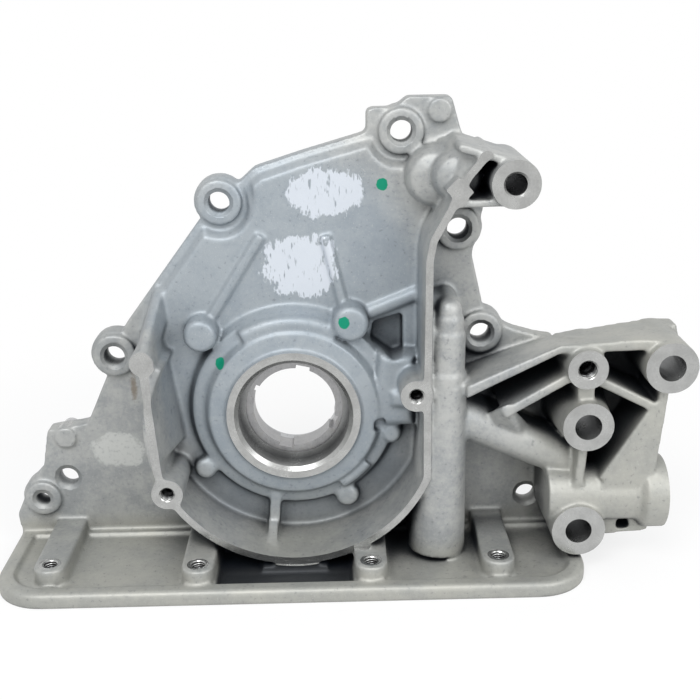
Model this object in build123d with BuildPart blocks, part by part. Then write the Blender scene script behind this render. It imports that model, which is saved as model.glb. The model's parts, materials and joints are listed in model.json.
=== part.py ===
from build123d import *
import math
import os

# The origin is where the crank axis meets the rear mating face. +X is to the right seen from
# the front, +Z is up, and the front faces -Y. Every depth is measured forward from that face,
# and every place in the plane of the flange is given as X and Z. All sizes are in millimetres.

# Depths of the casting
flange_depth = 8.0
boss_depth = 11.0
floor_depth = 12.5
wall_depth = 41.0
accessory_depth = 44.0
seal_face_depth = 26.0

# Crankshaft and its front seal
crank_diameter = 35.0
crank_clearance = 0.1
seal_section = 6.0
seal_bore_length = 10.0
seal_shoulder_gap = 3.3
seal_lead_in = 1.6
seal_ring_wall = 4.5

# Rotor set
cover_thickness = 4.5
chamber_length = 10.0
side_clearance = 0.05
outer_rotor_rim = 2.3
rotor_pocket_clearance = 0.08
inner_teeth = 8
rotor_offset = 2.8
lobe_radius = 8.5
tooth_root_wall = 5.9
tooth_clearance = 0.06
root_clearance = 0.15
drive_notch_width = 6.0
drive_notch_depth = 1.3
drive_notch_angles = (77.0, 156.0, 257.0, 336.0)
port_width = 5.3
port_depth = 4.2
port_half_angle = 58.0

# Pump cover and its screws
cover_land = 3.2
cover_ear_radius = 7.0
cover_gap = 0.2
cover_hole_gap = 1.5
outlet_diameter = 9.0
outlet_place = (-28.6, -2.8)
cover_screw_places = ((-37.8, 35.0), (24.7, 39.2), (41.4, -11.5), (-39.4, -26.7), (22.1, -41.1))
pad_radii = (7.0, 7.5, 4.6, 4.8, 5.2)
pad_depths = (23.5, 24.5, 20.0, 19.0, 18.8)
pad_edge = 1.5
screw_diameter = 5.0
screw_hole_diameter = 5.5
screw_length = 14.0
screw_head_diameter = 9.2
screw_head_sink = 0.2
screw_socket_width = 3.0
screw_socket_depth = 1.8
screw_end_gap = 1.5
thread_gap = 0.02

# Flange and its bolt holes
flange_hole_diameter = 9.0
flange_lobe_radius = 10.5
top_hole = (46.4, 115.7)
upper_left_hole = (-28.2, 88.4)
upper_right_hole = (69.6, 75.8)
left_hole = (-76.1, 23.5)
right_hole = (79.9, 30.4)
lower_left_hole = (-101.8, -33.8)
lower_right_hole = (102.3, -46.7)
ring_holes = (top_hole, upper_left_hole, upper_right_hole, left_hole, right_hole)
ring_radius = 9.3
ring_scoop = 2.6
corner_boss = (-113.3, -42.9)
corner_boss_radius = 8.0
corner_hole_diameter = 6.6
panel_draft = 35.0

# Dowel sleeves
dowel_outer_diameter = 8.0
dowel_inner_diameter = 5.6
dowel_length = 12.0
dowel_seat_depth = 6.5
dowel_chamfer = 0.6
dowel_pad_radius = 4.8
dowel_pad_depth = 9.6
left_dowel_place = (-101.0, -14.4)
upper_dowel_place = (62.0, 123.5)

# Recess for the timing drive
wall_thickness = 3.0
wall_base_thickness = 5.0
wall_arc_radius = 59.5
wall_side = 55.0
wall_boss_radius = 6.7
right_wall_boss = (50.6, 13.7)
left_wall_boss = (-52.9, -27.5)
wall_pad = (-59.2, 29.8)
wall_pad_radius = 5.0
cover_tap_diameter = 5.0
cover_tap_depth = 16.0

# Pump bulge in front of the rotors
bulge_wall = 2.5
plateau_radius = 35.8
plateau_depth = 23.2
skirt_depth = 18.8
bridge_depth = 22.5
bridge_round = 4.0
bridge_draft = 12.0

# Riser, gallery and inlet duct
riser_depth = 30.0
riser_base_x = 60.0
riser_base_radius = 12.2
riser_lean = 2.3
riser_top_radius = 5.4
riser_top = 46.5
riser_steps = ((20.0, 8.8), (37.0, 7.4), (43.5, 6.4))
riser_step_width = 0.9
riser_step_slope = 1.6
riser_back_step = 0.5
riser_bore_x = 61.0
riser_bore_diameter = 11.0
riser_bore_top = 12.0
gallery_depth = 25.0
gallery_radius = 8.5
gallery_bore_diameter = 7.0
gallery_start = (64.0, 1.2)
gallery_end = (121.0, -23.6)
spill_branch = (116.0, -21.4)
inlet_height = 6.0
inlet_bore_diameter = 6.0

# Relief valve
valve_depth = 30.0
valve_height = -35.5
valve_body_radius = 12.0
valve_body_start = 106.0
valve_neck = 147.0
valve_end_radius = 15.5
valve_end = 155.5
valve_bore_start = 109.5
feed_bore_diameter = 8.0
feed_diameter = 7.0
spill_diameter = 5.0
spill_x = 129.0
valve_seat = 126.0
seat_gap = 0.1
piston_diameter = 14.0
piston_clearance = 0.03
piston_length = 12.0
piston_head = 3.0
piston_hole_diameter = 10.0
piston_groove_depth = 0.6
piston_groove_width = 1.0
piston_grooves = (0.35, 0.65)
piston_travel = 6.0
plug_margin = 1.2
plug_thread_diameter = 18.0
plug_head_diameter = 22.0
plug_head_length = 3.2
plug_head_gap = 0.5
plug_sink = 0.5
plug_socket_width = 8.0
plug_socket_depth = 4.0
plug_pocket_depth = 2.4
washer_thickness = 1.2
spring_wire_diameter = 1.2
spring_mean_diameter = 8.2
spring_turns = 6.5
spring_runs_per_turn = 14
spring_seat_gap = 0.1

# Accessory arm
arm_floor_depth = 12.0
arm_panel_depth = 37.0
upper_right_boss = (152.5, 24.4)
centre_boss = (120.2, -0.2)
lower_boss = (118.4, -47.0)
tapped_boss = (118.8, 24.4)
upper_right_boss_radius = 10.75
centre_boss_radius = 10.5
lower_boss_radius = 11.25
tapped_boss_radius = 8.25
boss_root = 3.0
accessory_hole_diameter = 11.0
arm_tap_diameter = 6.8
arm_tap_depth = 24.0
hole_chamfer = 0.8
rib_width = 4.0
link_width = 7.0

# Tensioner bracket
tensioner_boss = (87.8, 99.1)
tensioner_boss_radius = 9.5
tensioner_hole_diameter = 8.4
tensioner_hole_depth = 26.0
knuckle_place = (59.5, 98.5)
knuckle_radius = 12.0
knuckle_depth = 24.0
shoulder_place = (67.0, 100.0)
shoulder_radius = 10.0
shoulder_depth = 33.0
knuckle_round = 6.0

# Oil pan flange
pan_top = -60.0
pan_thickness = 6.0
pan_left = -125.5
pan_right = 121.5
pan_reach = 64.0
pan_corner_radius = 22.0
pan_edge_radius = 2.2
pan_rim_width = 6.5
pan_field_depth = 1.8
pan_screw_places = ((-102.0, 49.0), (-40.5, 52.0), (31.0, 52.0), (84.0, 50.0))
pan_boss_width = 14.0
pan_boss_height = 6.0
pan_tap_diameter = 5.0
pan_tap_length = pan_boss_height + pan_thickness

# Back pockets
panel_wall = 4.5
flange_wall = 4.5
back_rib_width = 3.0

seal_bore_diameter = crank_diameter + 2 * seal_section
seal_shoulder_diameter = crank_diameter + 2 * seal_shoulder_gap
seal_ring_diameter = seal_bore_diameter + 2 * seal_ring_wall
lobe_circle_radius = crank_diameter / 2 + tooth_root_wall + rotor_offset + lobe_radius
outer_rotor_diameter = 2 * (lobe_circle_radius + outer_rotor_rim)
port_inner_radius = lobe_circle_radius - lobe_radius
port_outer_radius = port_inner_radius + port_width
cover_radius = outer_rotor_diameter / 2 + rotor_offset + cover_land
cover_hole_diameter = crank_diameter + 2 * cover_hole_gap
bulge_radius = cover_radius + bulge_wall
chamber_end = cover_thickness + chamber_length
valve_axis = (-valve_depth, valve_height)
piston_start = valve_seat + seat_gap
piston_end = piston_start + piston_length
plug_inner_end = piston_end + piston_travel + plug_margin
plug_outer_end = valve_end - plug_sink
plug_shoulder = plug_outer_end - plug_head_length
counterbore_floor = plug_shoulder - washer_thickness
spring_start = piston_start + piston_head + spring_seat_gap
spring_end = plug_inner_end + plug_pocket_depth - spring_seat_gap


def at_depth(depth):
    return Plane.XZ.offset(depth)


def in_space(place, depth):
    """The point at a place of the flange and a depth in front of the mating face."""
    return (place[0], -depth, place[1])


def facing_back(place, depth=0.0):
    """A plane that looks out of the back of the pump."""
    return Plane(origin=in_space(place, depth), x_dir=(-1, 0, 0), z_dir=(0, 1, 0))


def rounds(places, radius, depth):
    """Equal circles at several places, drawn at one depth."""
    with BuildSketch(at_depth(depth)) as section:
        with Locations(*places):
            Circle(radius)
    return section.sketch


def polygon(corners, depth):
    """A closed outline through its corners, drawn at one depth."""
    with BuildSketch(at_depth(depth)) as section:
        with BuildLine():
            Polyline(*corners, close=True)
        make_face()
    return section.sketch


def strip(points, width, depth):
    """A line of one width through its points, drawn at one depth."""
    with BuildSketch(at_depth(depth)) as section:
        with BuildLine():
            Polyline(*points)
        trace(line_width=width)
    return section.sketch


def add_tube(start, end, radius, mode=Mode.ADD):
    """A round bar between two points in space."""
    run = Vector(end) - Vector(start)
    with BuildSketch(Plane(origin=start, z_dir=run)) as section:
        Circle(radius)
    extrude(section.sketch, amount=run.length, mode=mode)


def add_bead(start, end, depth, radius):
    """A half-round bead, sunk into the face at its depth."""
    add_tube(in_space(start, depth), in_space(end, depth), radius)


def add_arc_bead(ring_radius, start_angle, end_angle, depth, radius):
    """A half-round bead that follows an arc about the crank axis."""
    angle = math.radians(end_angle)
    outward = (math.cos(angle), 0, math.sin(angle))
    along = (-math.sin(angle), 0, math.cos(angle))
    with BuildSketch(Plane(origin=(0, 0, 0), x_dir=outward, z_dir=along)) as section:
        with Locations((ring_radius, -depth)):
            Circle(radius)
    revolve(section.sketch, axis=Axis.Y, revolution_arc=end_angle - start_angle)


def add_drafted_run(start, end, base_width, top_width, start_depth, end_depth):
    """A straight wall that tapers toward the front, with round ends."""
    run = Vector(*end) - Vector(*start)
    middle = (Vector(*start) + Vector(*end)) * 0.5
    angle = math.degrees(math.atan2(run.Y, run.X))
    sections = []
    for depth, width in ((start_depth, base_width), (end_depth, top_width)):
        with BuildSketch(at_depth(depth)) as section:
            with Locations(Location((middle.X, middle.Y), angle)):
                Rectangle(run.length, width)
        sections.append(section.sketch.face())
    loft(sections=sections)
    height = end_depth - start_depth
    for place in (start, end):
        with Locations(Plane(origin=in_space(place, start_depth), z_dir=(0, -1, 0))):
            Cone(base_width / 2, top_width / 2, height, align=(Align.CENTER, Align.CENTER, Align.MIN))


def flange_outline():
    corners = (
        (-124.5, -64.0), (-126.5, -52.0), (-119.0, -36.0), (-112.5, -29.0), (-109.0, -11.0),
        (-91.0, -8.4), (-80.5, 14.0), (-71.5, 35.5), (-58.2, 52.9), (-37.4, 80.1),
        (-21.6, 94.5), (-13.4, 101.8), (5.3, 107.6), (32.3, 115.2), (32.3, 124.8),
        (43.7, 124.8), (49.0, 129.0), (66.8, 129.0), (70.7, 115.3), (78.0, 100.0),
        (80.5, 84.0), (76.0, 64.0), (81.4, 40.5), (92.0, 30.5), (107.5, 25.9),
        (120.0, 24.0), (120.0, -64.0),
    )
    with BuildSketch(at_depth(0)) as outline:
        with BuildLine():
            Polyline(*corners, close=True)
        make_face()
        fillet(outline.vertices(), 2.5)
        with Locations(*ring_holes):
            Circle(flange_lobe_radius)
        with Locations(corner_boss):
            Circle(corner_boss_radius + 1.5)
        with Locations(centre_boss):
            Circle(centre_boss_radius + boss_root)
        with Locations(lower_boss):
            Circle(lower_boss_radius)
    return outline.sketch


def panel_outline():
    """The raised panel: its upper field and the floor of the recess."""
    corners = (
        (-61.5, 28.0), (-59.5, 47.0), (-36.0, 78.0), (-20.5, 93.0), (-12.0, 100.0),
        (5.5, 105.6), (33.0, 113.0), (60.0, 113.0), (68.0, 99.0), (58.0, 77.0),
        (wall_side + 2, 20.0), (wall_side + 2, -20.0), (-57.0, -20.0),
    )
    with BuildSketch(at_depth(flange_depth)) as outline:
        with BuildLine():
            Polyline(*corners, close=True)
        make_face()
        Circle(wall_arc_radius + 1)
        with Locations(*ring_holes):
            Circle(ring_radius + ring_scoop, mode=Mode.SUBTRACT)
    return outline.sketch


def cover_outline(gap):
    """The pump cover seen from the front: a disc drawn out to an ear at each screw."""
    with BuildSketch(at_depth(0)) as outline:
        Circle(cover_radius + gap)
        with Locations(*cover_screw_places):
            Circle(cover_ear_radius + gap)
        make_hull(mode=Mode.REPLACE)
    return outline.sketch


def port_outline(middle_angle):
    """A kidney port in the floor of the rotor chamber, centred on the crank axis."""
    start_angle, arc = middle_angle - port_half_angle, 2 * port_half_angle
    with BuildSketch(at_depth(chamber_end)) as outline:
        with BuildLine():
            inner = CenterArc((0, 0), port_inner_radius, start_angle, arc)
            outer = CenterArc((0, 0), port_outer_radius, start_angle, arc)
            Line(inner @ 0, outer @ 0)
            Line(inner @ 1, outer @ 1)
        make_face()
        fillet(outline.vertices(), 1.8)
    return outline.sketch


def make_flange():
    """The flat flange with its rings, the raised panel and the pads over the dowels."""
    with BuildPart() as flange:
        extrude(flange_outline(), amount=flange_depth)
        extrude(panel_outline(), amount=floor_depth - flange_depth, taper=panel_draft)
        extrude(rounds(ring_holes, ring_radius, 0), amount=boss_depth)
        extrude(rounds([corner_boss], corner_boss_radius, 0), amount=boss_depth)
        dowel_places = (left_dowel_place, upper_dowel_place)
        extrude(rounds(dowel_places, dowel_pad_radius, 0), amount=dowel_pad_depth)
        add_bead((-11.4, 74.9), (-36.0, 37.0), floor_depth, 2.4)
        add_bead((14.9, 74.4), (22.4, 42.0), floor_depth, 2.4)
        add_bead((27.0, 39.0), (wall_side, 50.0), floor_depth - 0.6, 3.2)
        add_bead((-9.7, -40.0), (-11.4, -wall_arc_radius), floor_depth + 0.6, 2.5)
    return flange.part


def make_wall():
    """The drafted wall round the recess, with its screw bosses and its pads."""
    low_angle = math.acos(wall_side / wall_arc_radius)
    left_angle = math.atan2(left_wall_boss[1], left_wall_boss[0])
    right_foot = (wall_side, -wall_arc_radius * math.sin(low_angle))
    left_foot = (wall_arc_radius * math.cos(left_angle), wall_arc_radius * math.sin(left_angle))
    right_run = ((77.2, 110.4), (70.5, 102.5), (66.7, 96.3), (64.3, 90.6), (57.0, 77.5),
                 (wall_side + 0.5, 69.3), (wall_side, 16.0), right_foot)
    left_run = (left_foot, (-55.8, -19.8), wall_pad)
    half_top, half_base = wall_thickness / 2, wall_base_thickness / 2
    with BuildPart() as wall:
        for run in (right_run, left_run):
            for start, end in zip(run, run[1:]):
                add_drafted_run(start, end, wall_base_thickness, wall_thickness,
                                flange_depth, wall_depth)
        start_plane = Plane(
            origin=(0, 0, 0),
            x_dir=(math.cos(low_angle), 0, -math.sin(low_angle)),
            z_dir=(math.sin(low_angle), 0, math.cos(low_angle)),
        )
        with BuildSketch(start_plane) as arc_section:
            with BuildLine():
                Polyline(
                    (wall_arc_radius - half_base, -flange_depth),
                    (wall_arc_radius + half_base, -flange_depth),
                    (wall_arc_radius + half_top, -wall_depth),
                    (wall_arc_radius - half_top, -wall_depth), close=True,
                )
            make_face()
        arc = math.degrees(math.pi + left_angle + math.pi - low_angle)
        revolve(arc_section.sketch, axis=Axis.Y, revolution_arc=arc)
        extrude(rounds([right_wall_boss, left_wall_boss], wall_boss_radius, flange_depth),
                amount=wall_depth - flange_depth)
        extrude(rounds([wall_pad], wall_pad_radius, flange_depth), amount=wall_depth - flange_depth)

        # Diamond pad where the wall meets the tensioner bracket
        diamond = ((61.3, 97.0), (66.2, 101.8), (72.2, 96.2), (67.2, 90.8))
        extrude(polygon(diamond, flange_depth), amount=wall_depth - flange_depth)

        # Flared foot inside the left wall
        foot = polygon(((-47.5, -13), (-53.5, 29), (-60.5, 31), (-56.0, -20)), floor_depth)
        lip = polygon(((-55.0, -13), (-58.0, 29), (-60.5, 31), (-56.0, -20)), wall_depth)
        loft(sections=[foot.face(), lip.face()], ruled=True)

        # Ramp that falls from the upper left pad to the panel
        ramp_foot = polygon(((-65, 32), (-56, 26), (-51.5, 40.5), (-53, 54), (-57, 53)), flange_depth)
        ramp_lip = polygon(((-62, 31), (-57, 28), (-56, 33), (-57.5, 35), (-60, 35)), wall_depth)
        loft(sections=[ramp_foot.face(), ramp_lip.face()], ruled=True)
    return wall.part


def make_bulge():
    """The stepped dome over the rotors, its pads and the bridge of the inlet duct."""
    ring_radius = seal_ring_diameter / 2
    with BuildPart() as bulge:
        with BuildSketch(Plane.XY) as section:
            with BuildLine():
                Polyline(
                    (0, 0), (0, -seal_face_depth), (ring_radius, -seal_face_depth),
                    (ring_radius + 0.8, -plateau_depth - 0.8), (plateau_radius, -plateau_depth),
                    (plateau_radius + 2.4, -skirt_depth), (bulge_radius - 2.5, -skirt_depth + 1.0),
                    (bulge_radius, -floor_depth), (bulge_radius, 0), close=True,
                )
            make_face()
        revolve(section.sketch, axis=Axis.Y)
        for place, radius, depth in zip(cover_screw_places, pad_radii, pad_depths):
            extrude(rounds([place], radius, 0), amount=depth - pad_edge)
            with Locations(Plane(origin=in_space(place, depth - pad_edge), z_dir=(0, -1, 0))):
                Cone(radius, radius - pad_edge, pad_edge,
                     align=(Align.CENTER, Align.CENTER, Align.MIN))
        add_arc_bead(plateau_radius + 3.2, 62.0, 122.0, skirt_depth, 3.6)
        add_arc_bead(plateau_radius + 3.0, 300.0, 322.0, skirt_depth, 3.0)
    return bulge.part


def make_inlet_bridge():
    """The rounded block that carries the inlet duct from the riser to the bulge."""
    foot = ((29.0, -9.5), (54.0, -9.5), (54.0, 26.5), (34.0, 28.0))
    with BuildPart() as bridge:
        extrude(polygon(foot, flange_depth), amount=bridge_depth - flange_depth,
                taper=bridge_draft)
        fillet(bridge.faces().sort_by(Axis.Y)[0].edges(), bridge_round)
    return bridge.part


def make_riser():
    """The upright tube with a domed head, and the tube that slopes from it to the valve."""
    half = [(riser_base_radius, 0)]
    for height, radius in riser_steps:
        half += [(radius, height - pan_top),
                 (radius - riser_step_width, height + riser_step_slope - pan_top)]
    half.append((riser_top_radius, riser_top - pan_top))
    lean = math.radians(riser_lean)
    axis_plane = Plane(origin=in_space((riser_base_x, pan_top), riser_depth),
                       x_dir=(math.cos(lean), 0, -math.sin(lean)), z_dir=(0, -1, 0))
    with BuildPart() as riser:
        with BuildSketch(axis_plane) as section:
            with BuildLine():
                Polyline((0, 0), *half)
                CenterArc((0, riser_top - pan_top), riser_top_radius, 0, 90)
                Line((0, riser_top - pan_top + riser_top_radius), (0, 0))
            make_face()
        revolve(section.sketch, axis=Axis(axis_plane.origin, axis_plane.y_dir))
        right_side = [(x - riser_back_step, y) for x, y in half]
        left_side = [(-x, y) for x, y in reversed(right_side)]
        with BuildSketch(axis_plane) as silhouette:
            with BuildLine():
                Polyline(*left_side, *right_side)
                CenterArc((0, riser_top - pan_top), riser_top_radius - riser_back_step, 0, 180)
            make_face()
        extrude(silhouette.sketch, amount=flange_depth - riser_depth)
        extrude(strip((gallery_start, gallery_end), 2 * gallery_radius, flange_depth),
                amount=gallery_depth - flange_depth)
        add_tube(in_space(gallery_start, gallery_depth), in_space(gallery_end, gallery_depth),
                 gallery_radius)
    return riser.part


def make_valve_body():
    """The cylinder of the relief valve with its wide mouth and its foot on the flange."""
    low, high = valve_height - valve_body_radius, valve_height + valve_body_radius
    with BuildPart() as valve_body:
        with BuildSketch(Plane.YZ.offset(valve_body_start)) as barrel:
            with Locations(valve_axis):
                Circle(valve_body_radius)
        extrude(barrel.sketch, amount=valve_end - valve_body_start)
        with BuildSketch(Plane.YZ.offset(valve_neck - 3)) as neck:
            with Locations(valve_axis):
                Circle(valve_body_radius)
        with BuildSketch(Plane.YZ.offset(valve_neck)) as mouth:
            with Locations(valve_axis):
                Circle(valve_end_radius)
        loft(sections=[neck.sketch.face(), mouth.sketch.face()])
        extrude(mouth.sketch, amount=valve_end - valve_neck)
        foot = ((valve_body_start, low), (124, low), (124, high), (valve_body_start, high))
        extrude(polygon(foot, flange_depth), amount=valve_depth - flange_depth)
        web = ((120, low - 4), (valve_end - 6, low - 4), (valve_end - 6, low + 6), (120, low + 6))
        extrude(polygon(web, valve_depth - 12), amount=7)
    return valve_body.part


def make_arm():
    """The ribbed arm that carries the accessories, open toward the front."""
    web = ((70, 14), (88.9, 20.5), (106, 25.5), (118, 28.5), (140, 32), (152, 34), (161.5, 34),
           (163, 29), (160, 14), (151, 8), (146, -24), (106, -24), (106, -8), (80, 4), (70, 4))
    back_strip = ((66, 13), (88.9, 21.2), (106, 26.5), (118, 29.5), (140, 33), (152, 34.5),
                  (152, 29.5), (140, 28), (118, 24.5), (106, 21.5), (88.9, 16.2), (66, 8))
    front_strip = ((66, 15), (88, 25), (108, 33.8), (120, 34.6), (140, 35.8), (152, 35.1),
                   (152, 30.5), (140, 31), (120, 30.6), (108, 30.4), (88, 20.5), (66, 9.5))
    struts = (
        (((86, 4.5), (117, 22.6)), rib_width),
        ((tapped_boss, centre_boss), link_width),
        (((124, 18.4), (149, 5.6)), rib_width),
        (((151.5, 20), (150.5, 4), (148, -22)), rib_width),
        (((148, 6), (128.5, -26)), rib_width),
        ((centre_boss, (118.3, -28)), rib_width),
    )
    bosses = (
        (upper_right_boss, upper_right_boss_radius),
        (centre_boss, centre_boss_radius),
        (lower_boss, lower_boss_radius),
        (tapped_boss, tapped_boss_radius),
    )
    with BuildPart() as arm:
        extrude(polygon(web, flange_depth), amount=arm_floor_depth - flange_depth)
        sections = [polygon(back_strip, flange_depth).face(), polygon(front_strip, wall_depth).face()]
        loft(sections=sections, ruled=True)
        for points, width in struts:
            extrude(strip(points, width, flange_depth), amount=wall_depth - flange_depth)
        corner_panel = ((148, 6), (151.5, 4), (148.5, -22), (130, -24))
        extrude(polygon(corner_panel, flange_depth), amount=arm_panel_depth - flange_depth)
        lug = ((152, 28), (163, 28), (161.5, 34.4), (152, 34.8))
        extrude(polygon(lug, flange_depth), amount=9.0)
        with Locations(Plane(origin=in_space(centre_boss, flange_depth), z_dir=(0, -1, 0))):
            Cone(centre_boss_radius + boss_root, centre_boss_radius, wall_depth - flange_depth,
                 align=(Align.CENTER, Align.CENTER, Align.MIN))
        for place, radius in bosses:
            extrude(rounds([place], radius, flange_depth), amount=accessory_depth - flange_depth)
    return arm.part


def add_knuckle(place, radius, depth):
    """A round shoulder with a domed end, under the root of the tensioner bracket."""
    height = depth - flange_depth
    base = in_space(place, flange_depth)
    with BuildSketch(Plane(origin=base, x_dir=(1, 0, 0), z_dir=(0, 0, -1))) as section:
        with BuildLine():
            Polyline((0, 0), (radius, 0), (radius, height - knuckle_round),
                     (radius - 0.3 * knuckle_round, height - 0.3 * knuckle_round),
                     (radius - knuckle_round, height), (0, height), close=True)
        make_face()
    revolve(section.sketch, axis=Axis(base, (0, -1, 0)))


def make_tensioner_bracket():
    """The hollow bracket of the tensioner, between the recess wall and its boss."""
    floor = ((64, 90), (68, 114.5), (88, 108), (96, 99), (88, 90.5))
    with BuildPart() as bracket:
        extrude(polygon(floor, 0), amount=floor_depth)
        add_drafted_run((67.5, 112.6), (88.0, 106.6), 4.0, 3.2, flange_depth, wall_depth)
        add_drafted_run((64.0, 91.3), (86.0, 91.6), 4.0, 2.8, flange_depth, wall_depth)
        extrude(rounds([tensioner_boss], tensioner_boss_radius, 0), amount=accessory_depth)
        add_knuckle(knuckle_place, knuckle_radius, knuckle_depth)
        add_knuckle(shoulder_place, shoulder_radius, shoulder_depth)
    return bracket.part


def make_pan_flange():
    """The flange that the oil pan bolts to, with a boss over each screw."""
    with BuildPart() as pan_flange:
        with BuildSketch(Plane.XY.offset(pan_top - pan_thickness)) as outline:
            with BuildLine():
                Polyline((pan_left, 0), (pan_right, 0), (pan_right, -pan_reach),
                         (pan_left, -pan_reach), close=True)
            make_face()
            fillet(outline.vertices().group_by(Axis.Y)[0], pan_corner_radius)
        extrude(outline.sketch, amount=pan_thickness)
        front_edges = pan_flange.edges().filter_by_position(Axis.Y, -pan_reach - 1, -1)
        fillet(front_edges.group_by(Axis.Z)[-1], pan_edge_radius)
        with BuildSketch(Plane.XY.offset(pan_top)) as field:
            with BuildLine():
                Polyline((pan_left + pan_rim_width, -flange_depth - pan_rim_width / 2),
                         (pan_right - pan_rim_width, -flange_depth - pan_rim_width / 2),
                         (pan_right - pan_rim_width, -pan_reach + pan_rim_width),
                         (pan_left + pan_rim_width, -pan_reach + pan_rim_width), close=True)
            make_face()
            fillet(field.vertices().group_by(Axis.Y)[0], pan_corner_radius - pan_rim_width)
        extrude(field.sketch, amount=-pan_field_depth, taper=20, mode=Mode.SUBTRACT)
        for x, reach in pan_screw_places:
            with BuildSketch(Plane.XY.offset(pan_top - pan_edge_radius)) as boss:
                with BuildLine():
                    Line((x, -flange_depth / 2), (x, -reach))
                trace(line_width=pan_boss_width)
                with Locations((x, -reach)):
                    Circle(pan_boss_width / 2)
            extrude(boss.sketch, amount=pan_boss_height + pan_edge_radius, taper=2)
    return pan_flange.part


def cut_back_pockets():
    """Hollows in the back that leave walls of even thickness and a sealing rail."""
    panel_pocket = ((-44, 53), (-27, 74), (-14, 84), (-6, 91.5), (8, 96), (34, 103), (50, 101),
                    (56, 94), (49, 78), (47, 53), (34, 51), (0, 51), (-28, 51))
    ribs = (((-14, 48), (-20, 92)), ((12, 48), (14, 102)), ((32, 48), (37, 106)))
    with BuildSketch(at_depth(0)) as panel:
        with BuildLine():
            Polyline(*panel_pocket, close=True)
        make_face()
        with Locations(upper_left_hole, top_hole, upper_right_hole):
            Circle(flange_lobe_radius + 1.5, mode=Mode.SUBTRACT)
        for rib in ribs:
            with BuildLine():
                Line(*rib)
            trace(line_width=back_rib_width, mode=Mode.SUBTRACT)
    extrude(panel.sketch, amount=floor_depth - panel_wall, mode=Mode.SUBTRACT)

    flange_pockets = (
        ((-92, -20), (-76, -4), (-70, -8), (-62, -34), (-56, -53), (-92, -53)),
        ((-66, 38), (-72, 14), (-68, 2), (-57, 2), (-52, 20), (-52, 46)),
        ((66, -53), (64, -14), (76, 16), (96, 14), (100, -12), (92, -36), (92, -53)),
    )
    for corners in flange_pockets:
        extrude(polygon(corners, 0), amount=flange_depth - flange_wall, mode=Mode.SUBTRACT)


def cut_crank_passage():
    """The passage for the crank nose, stepped out to the seal bore and its lead-in."""
    seal_radius = seal_bore_diameter / 2
    shoulder_radius = seal_shoulder_diameter / 2
    seal_floor = seal_face_depth - seal_bore_length
    with BuildSketch(Plane.XY) as section:
        with BuildLine():
            Polyline(
                (0, 0), (shoulder_radius, 0), (shoulder_radius, -seal_floor),
                (seal_radius, -seal_floor), (seal_radius, -seal_face_depth + seal_lead_in),
                (seal_radius + seal_lead_in, -seal_face_depth), (0, -seal_face_depth), close=True,
            )
        make_face()
    revolve(section.sketch, axis=Axis.Y, mode=Mode.SUBTRACT)


def cut_pump_chamber():
    """The seat of the cover, the rotor chamber, its ports and the screw holes."""
    extrude(cover_outline(cover_gap), amount=cover_thickness, mode=Mode.SUBTRACT)
    pocket_radius = outer_rotor_diameter / 2 + rotor_pocket_clearance
    extrude(rounds([(0, -rotor_offset)], pocket_radius, cover_thickness), amount=chamber_length,
            mode=Mode.SUBTRACT)
    for middle_angle in (0.0, 180.0):
        extrude(port_outline(middle_angle), amount=port_depth, mode=Mode.SUBTRACT)
    extrude(rounds(cover_screw_places, screw_diameter / 2 + thread_gap, 0),
            amount=screw_length + screw_end_gap, mode=Mode.SUBTRACT)


def cut_oil_ways():
    """The riser bore, the inlet duct, the gallery, and the bores of the relief valve."""
    with BuildSketch(Plane.XY.offset(pan_top - pan_thickness)) as riser_bore:
        with Locations((riser_bore_x, -riser_depth)):
            Circle(riser_bore_diameter / 2)
    extrude(riser_bore.sketch, amount=riser_bore_top - pan_top + pan_thickness, mode=Mode.SUBTRACT)
    port_middle = (port_inner_radius + port_outer_radius) / 2
    add_tube(in_space((riser_bore_x, inlet_height), riser_depth - 5),
             in_space((port_middle, inlet_height), chamber_end + port_depth / 2),
             inlet_bore_diameter / 2, Mode.SUBTRACT)
    add_tube(in_space((riser_bore_x, gallery_start[1] + 1.2), gallery_depth),
             in_space(gallery_end, gallery_depth), gallery_bore_diameter / 2, Mode.SUBTRACT)
    add_tube(in_space(spill_branch, gallery_depth), in_space((spill_x, valve_height), valve_depth),
             spill_diameter / 2, Mode.SUBTRACT)
    feed_place = (valve_bore_start + feed_diameter / 2, valve_height)
    extrude(rounds([feed_place], feed_diameter / 2, 0), amount=valve_depth, mode=Mode.SUBTRACT)
    bores = (
        (valve_bore_start, feed_bore_diameter / 2, valve_seat),
        (valve_seat, piston_diameter / 2 + piston_clearance, plug_inner_end),
        (plug_inner_end - 0.5, plug_thread_diameter / 2 + thread_gap, counterbore_floor),
        (counterbore_floor, plug_head_diameter / 2 + plug_head_gap, valve_end),
    )
    for start, radius, end in bores:
        with BuildSketch(Plane.YZ.offset(start)) as bore:
            with Locations(valve_axis):
                Circle(radius)
        extrude(bore.sketch, amount=end - start, mode=Mode.SUBTRACT)


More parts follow.
